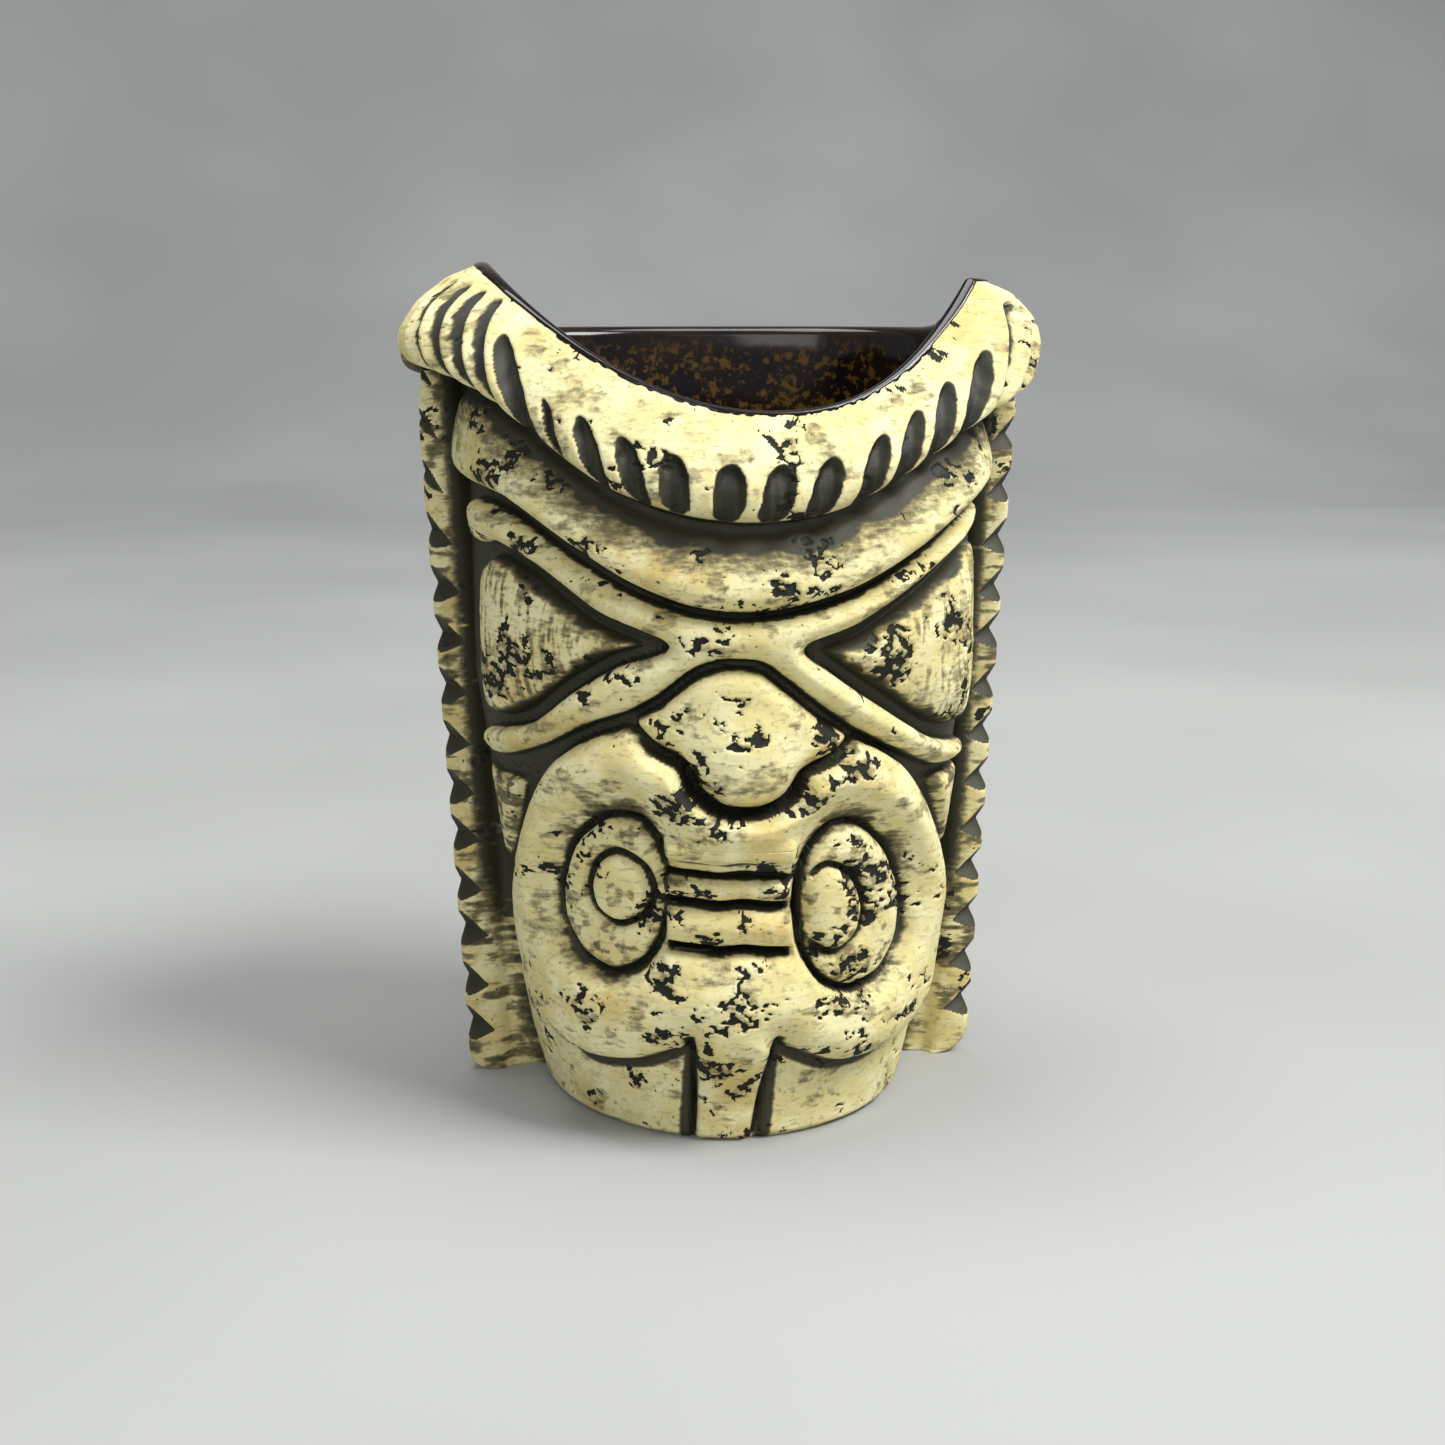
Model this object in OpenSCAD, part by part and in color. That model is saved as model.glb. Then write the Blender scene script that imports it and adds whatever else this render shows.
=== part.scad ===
// Ceramic tiki mug: a hollow cup whose front carries a carved face in high relief, with
// chip-carved corners down both sides, a notched crown round the rim and a dark glaze inside.
// Origin: middle of the foot, under the middle of the whole depth and width.
// +Z is up and the face looks along -Y. Left and right are as seen by someone facing it.

/* [Overall] */
// Height of the two horn tips of the rim
horn_h = 159; // [150:1:195]
// Height of the rim at the back
back_rim_h = 147; // [120:1:150]
// Height of the lowest point of the rim at the front
front_rim_h = 134; // [110:1:142]
// Width over the toothed corners at the foot
foot_w = 102; // [85:1:123]
// Width over the toothed corners at the height of the horns
top_w = 118; // [100:1:142]

// How far behind the corners the rim has come down from its horns to its level back
horn_fall = 26; // [20:1:32]

/* [Cup] */
// How far the back stands behind the toothed corners at the foot
foot_back = 38; // [31:1:46]
// How far the back stands behind the toothed corners at the rim
top_back = 42; // [35:1:51]
// How far the chin stands in front of the toothed corners
chin_front = 41; // [34:1:50]
// How far the face stands in front of the toothed corners under the crown
brow_front = 44; // [36:1:53]
// Width of the chin
chin_w = 68; // [56:1:76]
// Width of the face between the two corner strips
brow_w = 98; // [82:1:104]
// Thickness of the fired clay wall
wall = 5; // [4:0.5:6]
// Thickness of the clay floor
floor_t = 7; // [5:0.5:9]
// Thickness of the glaze coat on the inside
glaze_t = 0.5; // [0.4:0.1:0.8]

/* [Toothed corners] */
// Width of a corner strip, on its front and on its side
strip_w = 8; // [6.5:0.5:9.5]
// How far the front of a corner strip stands proud of the corner
strip_proud = 2; // [1:0.5:3]
// Height of one tooth
tooth_pitch = 9.7; // [8:0.1:11.7]
// Depth of the notch between two teeth, from the edge of the corner
notch_depth = 3.6; // [3:0.1:4.3]

/* [Crown] */
// Height of the crown band on the face
crown_h = 20; // [16.5:0.5:24]
// How far the crown stands proud of the face
crown_proud = 6; // [4:0.5:7]
// How far the crown's ends reach past the face's sides
crown_end = 10; // [8:0.5:12]
// Number of notches carved in the crown on each side of the middle
crown_notches = 8; // [6:1:9]
// Width of a crown notch
crown_notch_w = 4; // [3:0.5:5]

/* [Face] */
// Height of the forehead roll
forehead_h = 14; // [11.5:0.5:17]
// How far the forehead roll stands proud of the face
forehead_proud = 4.5; // [3:0.5:5.5]
// How far the crossed band stands proud of the face
band_proud = 4; // [3:0.5:5]
// How far the eyes stand proud of the face
eye_proud = 3.5; // [2.5:0.5:4.5]
// How far the nose stands proud of the face
nose_proud = 6.5; // [5:0.5:8]
// How far the muzzle stands proud of the face
muzzle_proud = 5; // [4:0.5:6]
// How far the lips stand proud of the face
lip_proud = 4; // [3:0.5:5]
// How far the mouth rings stand proud of the face
ring_proud = 4.5; // [3.5:0.5:5.5]
// How far the cheeks stand proud of the face
cheek_proud = 2.5; // [1.5:0.5:3]
// How far the chin stands proud of the cup, with the tongue
chin_proud = 1.5; // [1:0.5:2.5]
// Width of the tongue between its two cuts
tongue_w = 15; // [12.5:0.5:18]
// Width of a cut between two members of the face
cut_w = 0.8; // [0.6:0.1:1]

/* [Hidden] */

clay = "wheat";
glaze = [0.08, 0.04, 0.02];

// The places on the face are given for a front rim 134 high, a foot 102 wide and a face 98 wide
kz = front_rim_h / 134;
kx = foot_w / 102 * brow_w / 98;
far = 150;
// Touching shapes run into each other by this much
lap = 3;
body_top = horn_h + 2;
// The cup is built up in this many courses, and its outline in steps of this angle
courses = 9;
turn = 7.5;
// The face is full width from this share of the height upwards
full_width_at = 0.52;
// The cup's own corner is set in by this much, behind the corner strip
corner_set = strip_w - 1;
// The middle of the rim's horns, across the face, and the ends of the crown's line
horn_x = (brow_w - wall) / 2;
crown_x = brow_w / 2 + 1;
// The corner strips run up to the underside of the crown's ends
strip_h = horn_h - crown_h;
crown_mid = front_rim_h - crown_h / 2;
// The toothed corners stand this far behind the middle of the whole depth
corner_y = (face_reach(crown_mid) + crown_proud - back_reach(back_rim_h)) / 2;

function mix(a, b, t) = a + (b - a) * t;
// Half widths and reaches of the cup at a height
function corner_x(z) = mix(foot_w, top_w, z / horn_h) / 2;
function face_x(z) = mix(chin_w, brow_w, pow(min(1, z / horn_h / full_width_at), 0.8)) / 2;
function face_reach(z) = mix(chin_front, brow_front, z / horn_h);
function back_reach(z) = mix(foot_back, top_back, z / horn_h);
// Where the plain face lies behind a point of the front view
function face_y(x, z) = corner_y - face_reach(z) * sqrt(max(0.02, 1 - pow(x / face_x(z), 2)));
// Height of the rim above a place across the mug, in front and at the back
function rim_z(x) = front_rim_h + (horn_h - front_rim_h) * pow(min(1, abs(x) / horn_x), 2);
function side_z(y) = back_rim_h + (horn_h - back_rim_h) * pow(1 - min(1, y / horn_fall), 2);
function under_crown(x) = rim_z(x) - crown_h;
// Places in the front view, scaled with the face
function place(p) = [p[0] * kx, p[1] * kz];
function places(list) = [for (p = list) place(p)];
function other_side(list) = [for (i = [len(list) - 1:-1:0]) [-list[i][0], list[i][1]]];

// ---- The cup ----

// The front of the face, as a half ellipse of points, grown by some amount
function front_arc(z, grow) = [for (t = [0:turn:180])
    [-(face_x(z) + grow) * cos(t), corner_y - (face_reach(z) + grow) * sin(t)]];

// The back, which leaves each corner inwards and closes in a full round
function back_arc(half, reach) = [for (t = [0:turn:180])
    [half * sign(cos(t)) * pow(abs(cos(t)), 0.72), corner_y + reach * pow(sin(t), 0.9)]];

// One course of the cup: a solid between two rings of points at two heights
module course(low, high, low_ring, high_ring) {
    n = len(low_ring);
    hull() polyhedron(
        concat([for (p = low_ring) [p[0], p[1], low]], [for (p = high_ring) [p[0], p[1], high]]),
        concat([[for (i = [0:n - 1]) i], [for (i = [n - 1:-1:0]) n + i]],
               [for (i = [0:n - 1]) [i, n + i, n + (i + 1) % n, (i + 1) % n]]));
}

module front_bulge(grow) {
    for (i = [0:courses - 1]) {
        low = i * body_top / courses;
        high = (i + 1) * body_top / courses;
        course(low, high, bulge_ring(low, grow), bulge_ring(high, grow));
    }
}

function bulge_ring(z, grow) = concat(front_arc(z, grow),
    [[face_x(z) - lap, corner_y + lap], [-face_x(z) + lap, corner_y + lap]]);

module back_shell() {
    course(0, body_top, back_arc(corner_x(0) - corner_set, back_reach(0)),
           back_arc(corner_x(body_top) - corner_set, back_reach(body_top)));
}

// The plain outside of the cup, before its rim is shaped
module plain_cup() {
    front_bulge(0);
    back_shell();
}

function front_hollow_ring(z, inset) = concat(front_arc(z, -inset),
    [[face_x(z) - inset, corner_y + inset + lap], [-face_x(z) + inset, corner_y + inset + lap]]);
function back_hollow_ring(z, inset) = [
    for (p = back_arc(corner_x(z) - corner_set - inset, back_reach(z) - 2 * inset)) [p[0], p[1] + inset]];

// The hollow inside the cup, drawn in further by the skin that lines it
module hollow(skin) {
    for (i = [0:courses - 1]) {
        low = i == 0 ? floor_t + skin : i * body_top / courses;
        high = (i + 1) * body_top / courses;
        course(low, high, front_hollow_ring(low, wall + skin), front_hollow_ring(high, wall + skin));
        course(low, high, back_hollow_ring(low, wall + skin), back_hollow_ring(high, wall + skin));
    }
}

// The front view of all that lies under the rim, with the shoulders of the crown's ends
module front_profile() {
    shoulder_x = crown_x + crown_end;
    shoulder_z = horn_h - crown_h * 0.45;
    line = [for (i = [-12:12]) [i * horn_x / 12, rim_z(i * horn_x / 12)]];
    polygon(concat([[-far, -1], [-far, shoulder_z], [-shoulder_x, shoulder_z], [-crown_x, horn_h]], line,
                   [[crown_x, horn_h], [shoulder_x, shoulder_z], [far, shoulder_z], [far, -1]]));
}

// The side view behind the corners, where the rim comes down from its horns to its back
module side_profile() {
    line = [for (i = [0:8]) [i * horn_fall / 8, side_z(i * horn_fall / 8)]];
    polygon(concat([[0, -1]], line, [[far, back_rim_h], [far, -1]]));
}

// Everything under the rim: low in front, level at the back, with a horn at each side
module under_rim() {
    translate([0, corner_y, 0]) rotate([90, 0, 0]) linear_extrude(far) front_profile();
    translate([-far, corner_y, 0]) rotate([90, 0, 90]) linear_extrude(2 * far) side_profile();
}

module cup_body() color(clay) difference() {
    intersection() {
        plain_cup();
        under_rim();
    }
    hollow(0);
}

module interior_glaze() color(glaze) difference() {
    intersection() {
        hollow(0);
        under_rim();
    }
    hollow(glaze_t);
}

// ---- Toothed corners ----

function strip_ring(z) = [
    [corner_x(z) - strip_w, corner_y - strip_proud],
    [corner_x(z), corner_y - strip_proud],
    [corner_x(z) - corner_set + 1, corner_y + strip_w],
    [corner_x(z) - strip_w, corner_y + strip_w]];

// A vee cut across the corner's edge
module corner_vee(z) {
    reach = 2 * notch_depth;
    translate([corner_x(z), corner_y - strip_proud, z]) rotate([0, 0, -45])
        translate([reach - notch_depth, 0, 0]) scale([1, 1, 0.46 * tooth_pitch / notch_depth])
            rotate([0, 45, 0]) cube([reach * sqrt(2), 4 * strip_w, reach * sqrt(2)], center = true);
}

module tooth_strip(side) color(clay) mirror([side < 0 ? 1 : 0, 0, 0]) difference() {
    course(0, strip_h, strip_ring(0), strip_ring(strip_h));
    plain_cup();
    crown_band();
    for (i = [1:floor(strip_h / tooth_pitch)]) {
        corner_vee(i * tooth_pitch);
    }
}

// ---- Crown ----

module crown_ball(x) {
    z = rim_z(x) - crown_h / 2;
    translate([x, face_y(x, z), z])
        scale([max(crown_proud, crown_end * abs(x) / crown_x), crown_proud, crown_h / 2])
            sphere(1, $fn = 16);
}

// The band round the front of the rim, from one horn to the other
module crown_band() {
    intersection() {
        for (i = [-8:7]) {
            hull() {
                crown_ball(i * crown_x / 8);
                crown_ball((i + 1) * crown_x / 8);
            }
        }
        under_rim();
    }
}

module crown_notch(x) {
    z = rim_z(x) - crown_h * 0.6;
    translate([x, face_y(x, z) - crown_proud, z]) rotate([0, -38 * x / crown_x, 0])
        scale([crown_notch_w / 2, crown_proud / 2, crown_h * 0.34]) sphere(1, $fn = 13);
}

module crown() color(clay) difference() {
    crown_band();
    plain_cup();
    hollow(0);
    for (i = [0:crown_notches - 1]) {
        x = (i + 0.5) * crown_x / (crown_notches + 0.3);
        crown_notch(x);
        crown_notch(-x);
    }
}

// ---- Members of the face ----

// Pushes an outline of the front view forwards through the face
module through_face() translate([0, corner_y, 0]) rotate([90, 0, 0]) linear_extrude(far) children();

// The front view between the two corner strips and under the crown
module field() {
    clear = strip_w + cut_w;
    polygon([[-corner_x(0) + clear, 0], [corner_x(0) - clear, 0],
             [corner_x(strip_h) - clear, strip_h], [-corner_x(strip_h) + clear, strip_h]]);
}

// A member that rises from the face in steps, with its outline in the front view
module member(proud, edge = 1.2, steps = 3) {
    color(clay) difference() {
        for (k = [1:steps]) {
            intersection() {
                through_face() offset(delta = -(k - 1) * edge) intersection() {
                    field();
                    children();
                }
                front_bulge(proud * k / steps);
            }
        }
        plain_cup();
        crown_band();
    }
}

// An outline given by its right half, from the middle round to the middle again
module symmetric(half) polygon(concat(half, other_side(half)));

module one_side(side) mirror([side < 0 ? 1 : 0, 0]) children();

// A strip of the front view that follows the underside of the crown
module crown_follower(drop, low_drop) {
    xs = [for (i = [-10:10]) i * crown_x / 10];
    polygon(concat([for (x = xs) [x, under_crown(x) - drop]],
                   [for (i = [20:-1:0]) [xs[i], under_crown(xs[i]) - low_drop]]));
}

arm_low = [[0, 89.5], [4, 89.2], [9, 85.5], [20.5, 76.5], [27, 71.5], [33, 67], [42, 63.5], [46, 66]];
arm_high = [[46, 70.5], [40, 73.5], [29, 80], [17.5, 87.5], [13, 92], [24, 98.5], [36, 104], [46, 107]];
eye_points = [[15, 92], [24, 97.2], [36, 102.6], [46, 105.5], [46, 72], [40, 75], [29, 81.5], [18, 89]];
nose_points = [[0, 63.5], [6, 65], [9, 71], [16, 73.5], [20, 76], [9, 84.7], [3.5, 88.4], [0, 88.7]];
muzzle_points = [[0, 88], [22, 74], [27, 70.5], [33, 66], [38, 61], [42, 50], [43.5, 40], [42.5, 29],
                 [39, 19.5], [33.5, 14.5], [24, 13.8], [16, 15], [8, 18.5], [0, 18.5]];
cheek_points = [[41, 63], [46, 65], [46, 46], [43.5, 46]];
ring_at = place([20.5, 46.5]);
ring_size = place([10.5, 16.5]);
groove_size = place([5.9, 9.6]);
boss_size = place([5.1, 8.8]);
// Heights of the three slots of the mouth, and of the top of the upper lip
mouth_slots = [37.5, 46.5, 51.5];
lip_top = 57;

module oval(size) translate(ring_at) scale([size[0] / size[1], 1]) circle(size[1], $fn = 28);
module nose_outline() symmetric(places(nose_points));

module band_outline() {
    top = [for (i = [10:-1:0]) let (x = i * crown_x / 10) [x, under_crown(x) - forehead_h - cut_w]];
    symmetric(concat(places(arm_low), places(arm_high), top));
}

module lip_outline(low, high) {
    half = ring_at[0] - ring_size[0];
    translate([-half, low * kz + cut_w / 2]) square([2 * half, (high - low) * kz - cut_w]);
}

module muzzle_outline() {
    difference() {
        symmetric(places(muzzle_points));
        offset(delta = cut_w) {
            band_outline();
            nose_outline();
            oval(ring_size);
            mirror([1, 0]) oval(ring_size);
        }
        lip_outline(mouth_slots[0] - cut_w, lip_top + cut_w);
    }
}

module chin_outline() {
    translate([tongue_w / 2 + cut_w, 0]) square([chin_w / 2, 14.5 * kz]);
}

module tongue_outline() translate([-tongue_w / 2, 0]) square([tongue_w, 18.5 * kz - cut_w]);

module forehead_roll() member(forehead_proud) crown_follower(cut_w, forehead_h);
module crossed_brow_band() member(band_proud) band_outline();
module nose() member(nose_proud) nose_outline();
module muzzle() member(muzzle_proud) muzzle_outline();
module tongue() member(chin_proud, 0.4) tongue_outline();
module upper_lip() member(lip_proud, 0.6) lip_outline(mouth_slots[2], lip_top);
module middle_lip() member(lip_proud, 0.6) lip_outline(mouth_slots[1], mouth_slots[2]);
module lower_lip() member(lip_proud, 0.6) lip_outline(mouth_slots[0], mouth_slots[1]);

module eye(side) member(eye_proud, 2) one_side(side) polygon(places(eye_points));

module chin(side) member(chin_proud, 0.4) one_side(side) difference() {
    chin_outline();
    offset(delta = cut_w) muzzle_outline();
}

module cheek(side) member(cheek_proud, 0.6) one_side(side) difference() {
    polygon(places(cheek_points));
    offset(delta = cut_w) {
        muzzle_outline();
        band_outline();
    }
}

module mouth_ring(side) member(ring_proud, 1) one_side(side) difference() {
    oval(ring_size);
    oval(groove_size);
}

module ring_boss(side) member(ring_proud, 1) one_side(side) oval(boss_size);

cup_body();
interior_glaze();
tooth_strip(-1);  // left_tooth_strip
tooth_strip(1);  // right_tooth_strip
crown();
forehead_roll();
crossed_brow_band();
eye(-1);  // left_eye
eye(1);  // right_eye
nose();
muzzle();
mouth_ring(-1);  // left_mouth_ring
mouth_ring(1);  // right_mouth_ring
ring_boss(-1);  // left_ring_boss
ring_boss(1);  // right_ring_boss
upper_lip();
middle_lip();
lower_lip();
chin(-1);  // left_chin
chin(1);  // right_chin
tongue();
cheek(-1);  // left_cheek
cheek(1);  // right_cheek
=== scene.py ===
"""Looks of a ceramic tiki mug: a clay cup with a mask carved on its front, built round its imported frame."""
import logging
import math
from dataclasses import dataclass, field, replace
from enum import Enum
from typing import Dict, List, Optional, Sequence, Tuple

import bpy
import numpy as np
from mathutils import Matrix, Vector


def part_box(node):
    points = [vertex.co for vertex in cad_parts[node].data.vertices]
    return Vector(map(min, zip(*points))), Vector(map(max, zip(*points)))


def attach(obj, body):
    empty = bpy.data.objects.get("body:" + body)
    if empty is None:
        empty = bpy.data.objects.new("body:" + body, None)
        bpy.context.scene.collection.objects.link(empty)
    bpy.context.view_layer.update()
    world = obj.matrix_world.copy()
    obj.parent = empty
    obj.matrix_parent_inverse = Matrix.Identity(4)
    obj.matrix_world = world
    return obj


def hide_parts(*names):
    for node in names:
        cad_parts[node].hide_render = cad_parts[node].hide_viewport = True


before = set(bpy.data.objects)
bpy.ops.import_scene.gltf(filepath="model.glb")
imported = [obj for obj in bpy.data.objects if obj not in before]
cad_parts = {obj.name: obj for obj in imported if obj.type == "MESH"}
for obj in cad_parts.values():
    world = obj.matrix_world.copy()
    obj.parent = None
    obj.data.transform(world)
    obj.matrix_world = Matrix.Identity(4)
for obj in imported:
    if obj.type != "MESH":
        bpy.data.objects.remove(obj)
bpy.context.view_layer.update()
LOG = logging.getLogger("tiki_mug")
MM = 0.001
MEAN_R = 46.5  # mean radius of the carved front in mm: angle times this is distance along it
Array = np.ndarray
Points = Sequence[Tuple[float, float]]


class Side(Enum):
    """A side of the mug, as seen by someone facing it."""

    LEFT = -1
    RIGHT = 1


# ---------------------------------------------------------------- shaping helpers


def ease(low: float, high: float, value: Array) -> Array:
    """Rises smoothly from 0 at low to 1 at high.

    Args:
        low: Where the rise starts.
        high: Where it ends.
        value: What is measured.

    Returns:
        The share of the rise at each value.
    """
    t = np.clip((value - low) / (high - low), 0.0, 1.0)
    return t * t * (3.0 - 2.0 * t)


def dome(inside: Array, edge: float) -> Array:
    """A rounded edge: 0 at an outline, 1 from the edge's width inwards.

    Args:
        inside: Distance inside the outline, in mm.
        edge: Width of the rounded edge, in mm.

    Returns:
        The share of the full height.
    """
    t = 1.0 - np.clip(inside / edge, 0.0, 1.0)
    return np.sqrt(np.maximum(0.0, 1.0 - t * t))


def smooth_line(points: Points, closed: bool = False, steps: int = 7) -> Array:
    """A soft curve through given points.

    Args:
        points: The points, in order.
        closed: True where the curve comes back to its start.
        steps: How many short pieces stand between two points.

    Returns:
        The curve's points, one a row.
    """
    p = np.asarray(points, float)
    p = np.vstack([p[-1:], p, p[:2]]) if closed else np.vstack([2 * p[0] - p[1], p, 2 * p[-1] - p[-2]])
    t = np.linspace(0.0, 1.0, steps, endpoint=False)[:, None]
    spans = []
    for a, b, c, d in zip(p[:-3], p[1:-2], p[2:-1], p[3:]):
        pull = 0.4
        m0, m1 = pull * (c - a), pull * (d - b)
        spans.append((2 * t**3 - 3 * t**2 + 1) * b + (t**3 - 2 * t**2 + t) * m0
                     + (3 * t**2 - 2 * t**3) * c + (t**3 - t**2) * m1)
    if not closed:
        spans.append(p[-2:-1])
    return np.vstack(spans)


def lattice_noise(x: Array, y: Array, seed: int) -> Array:
    """Smooth random values between 0 and 1, with bumps one unit wide."""
    table = np.random.default_rng(seed).random((256, 256))
    xi, yi = np.floor(x).astype(int), np.floor(y).astype(int)
    fx, fy = x - xi, y - yi
    fx, fy = fx * fx * (3 - 2 * fx), fy * fy * (3 - 2 * fy)
    x0, x1, y0, y1 = xi & 255, (xi + 1) & 255, yi & 255, (yi + 1) & 255
    low = table[x0, y0] * (1 - fx) + table[x1, y0] * fx
    high = table[x0, y1] * (1 - fx) + table[x1, y1] * fx
    return low * (1 - fy) + high * fy


def rough_noise(x: Array, y: Array, seed: int, octaves: int = 3) -> Array:
    """Random values between 0 and 1 with detail at several scales.

    Args:
        x: Place across, in widths of the largest bumps.
        y: Place up, in heights of the largest bumps.
        seed: Seed of the pattern.
        octaves: How many scales are added, each half as large as the last.

    Returns:
        The noise, with a mean of about 0.5.
    """
    total, weight = np.zeros_like(x), 0.0
    for k in range(octaves):
        share = 0.55**k
        total = total + share * lattice_noise(x * 2**k + 17.3 * k, y * 2**k + 9.1 * k, seed + k)
        weight += share
    return total / weight


def blurred(values: Array, cells: float) -> Array:
    """A grid of values softened over a number of cells."""
    reach = max(1, int(round(2.5 * cells)))
    taps = np.exp(-0.5 * (np.arange(-reach, reach + 1) / cells) ** 2)
    taps /= taps.sum()
    for axis in (0, 1):
        pad = [(reach, reach) if a == axis else (0, 0) for a in (0, 1)]
        wide = np.pad(values, pad, mode="edge")
        n = values.shape[axis]
        values = sum(w * np.take(wide, range(k, k + n), axis=axis) for k, w in enumerate(taps))
    return values


def worm_pits(s: Array, z: Array, seed: int, share: Array) -> Array:
    """Ragged chatter marks that stand in clusters.

    Args:
        s: Place across the surface, in mm.
        z: Height, in mm.
        seed: Seed of the pattern.
        share: How much of the surface may be pitted, 0 to 1.

    Returns:
        0 on smooth clay and 1 inside a pit.
    """
    cluster = rough_noise(s / 6.5, z / 5.5, seed, 2)
    drift = 1.6 * rough_noise(s / 2.6, z / 2.6, seed + 11, 2)
    crumbs = rough_noise(s / 1.05 + drift, z / 0.9 - drift, seed + 5, 3)
    away = ease(0.74, 0.48, cluster + 0.30 * (share - 0.5))
    limit = 0.49 + 0.33 * away
    return ease(limit, limit + 0.05, crumbs)


# ---------------------------------------------------------------- form of the cup


@dataclass(frozen=True)
class MugForm:
    """The plain form of the cup in mm, which the carving stands on."""

    horn_h: float = 159.0
    back_rim_h: float = 147.0
    front_rim_h: float = 134.0
    foot_w: float = 102.0
    top_w: float = 118.0
    horn_fall: float = 26.0
    foot_back: float = 38.0
    top_back: float = 42.0
    chin_front: float = 41.0
    brow_front: float = 44.0
    chin_w: float = 68.0
    brow_w: float = 98.0
    wall: float = 5.0
    floor_t: float = 7.0
    corner_set: float = 7.0
    corner_y: float = 3.82
    lip_rise: float = 0.5
    back_round: float = 2.0
    lip_set: float = 4.2
    rim_shift: float = 5.5
    right_drop: float = 2.2
    flare: float = 4.6

    @classmethod
    def from_frame(cls) -> "MugForm":
        """Scales the plain form to the cup and the floor of the glaze that the frame holds.

        Returns:
            The form.
        """
        plain = cls()
        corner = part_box("cup_body")[1]
        tall = corner.z / MM / plain.horn_h
        broad = corner.x / MM / (plain.top_w / 2 - plain.corner_set)
        heights = {key: tall * getattr(plain, key) for key in ("horn_h", "back_rim_h", "front_rim_h")}
        widths = {key: broad * getattr(plain, key) for key in ("foot_w", "top_w", "chin_w", "brow_w")}
        return replace(plain, floor_t=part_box("interior_glaze")[0].z / MM, **heights, **widths)

    def corner_x(self, z: Array) -> Array:
        """Half width over the toothed corners at a height."""
        return (self.foot_w + (self.top_w - self.foot_w) * z / self.horn_h) / 2

    def face_x(self, z: Array) -> Array:
        """Half width of the face at a height."""
        rise = np.clip(z / self.horn_h / 0.52, 0.0, 1.0) ** 0.8
        return (self.chin_w + (self.brow_w - self.chin_w) * rise) / 2

    def face_reach(self, z: Array) -> Array:
        """How far the face stands in front of the corners at a height."""
        return self.chin_front + (self.brow_front - self.chin_front) * z / self.horn_h

    def back_reach(self, z: Array) -> Array:
        """How far the back stands behind the corners at a height."""
        return self.foot_back + (self.top_back - self.foot_back) * z / self.horn_h

    def back_x(self, z: Array, behind: Array, inset: float = 0.0) -> Array:
        """Half width of the back shell at a distance behind the corners."""
        share = np.clip(behind / (self.back_reach(z) - inset), 0.0, 1.0)
        half = self.corner_x(z) - self.corner_set - inset
        return half * (1.0 - share ** (2 / 0.9)) ** 0.36

    def front_rim(self, x: Array) -> Array:
        """Height of the rim over a place across the front."""
        lip = x * (1.0 - self.lip_set / (self.brow_w / 2)) - self.rim_shift
        half = self.brow_w / 2 - self.lip_set
        left = (self.horn_h + 0.8 - self.front_rim_h) * np.clip(-lip / (half + self.rim_shift), 0.0, 1.0) ** 2
        right = (self.horn_h - self.right_drop - self.front_rim_h) \
            * np.clip(lip / (half - self.rim_shift), 0.0, 1.0) ** 2.4
        return self.front_rim_h - 0.5 + left + right

    def side_rim(self, behind: Array, side: Array) -> Array:
        """Height of the rim at a distance behind the corners, on one side of the cup."""
        share = 1.0 - np.clip(behind / self.horn_fall, 0.0, 1.0)
        return self.back_rim_h + (self.front_rim(side * self.brow_w / 2) - self.back_rim_h) * share**2


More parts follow.
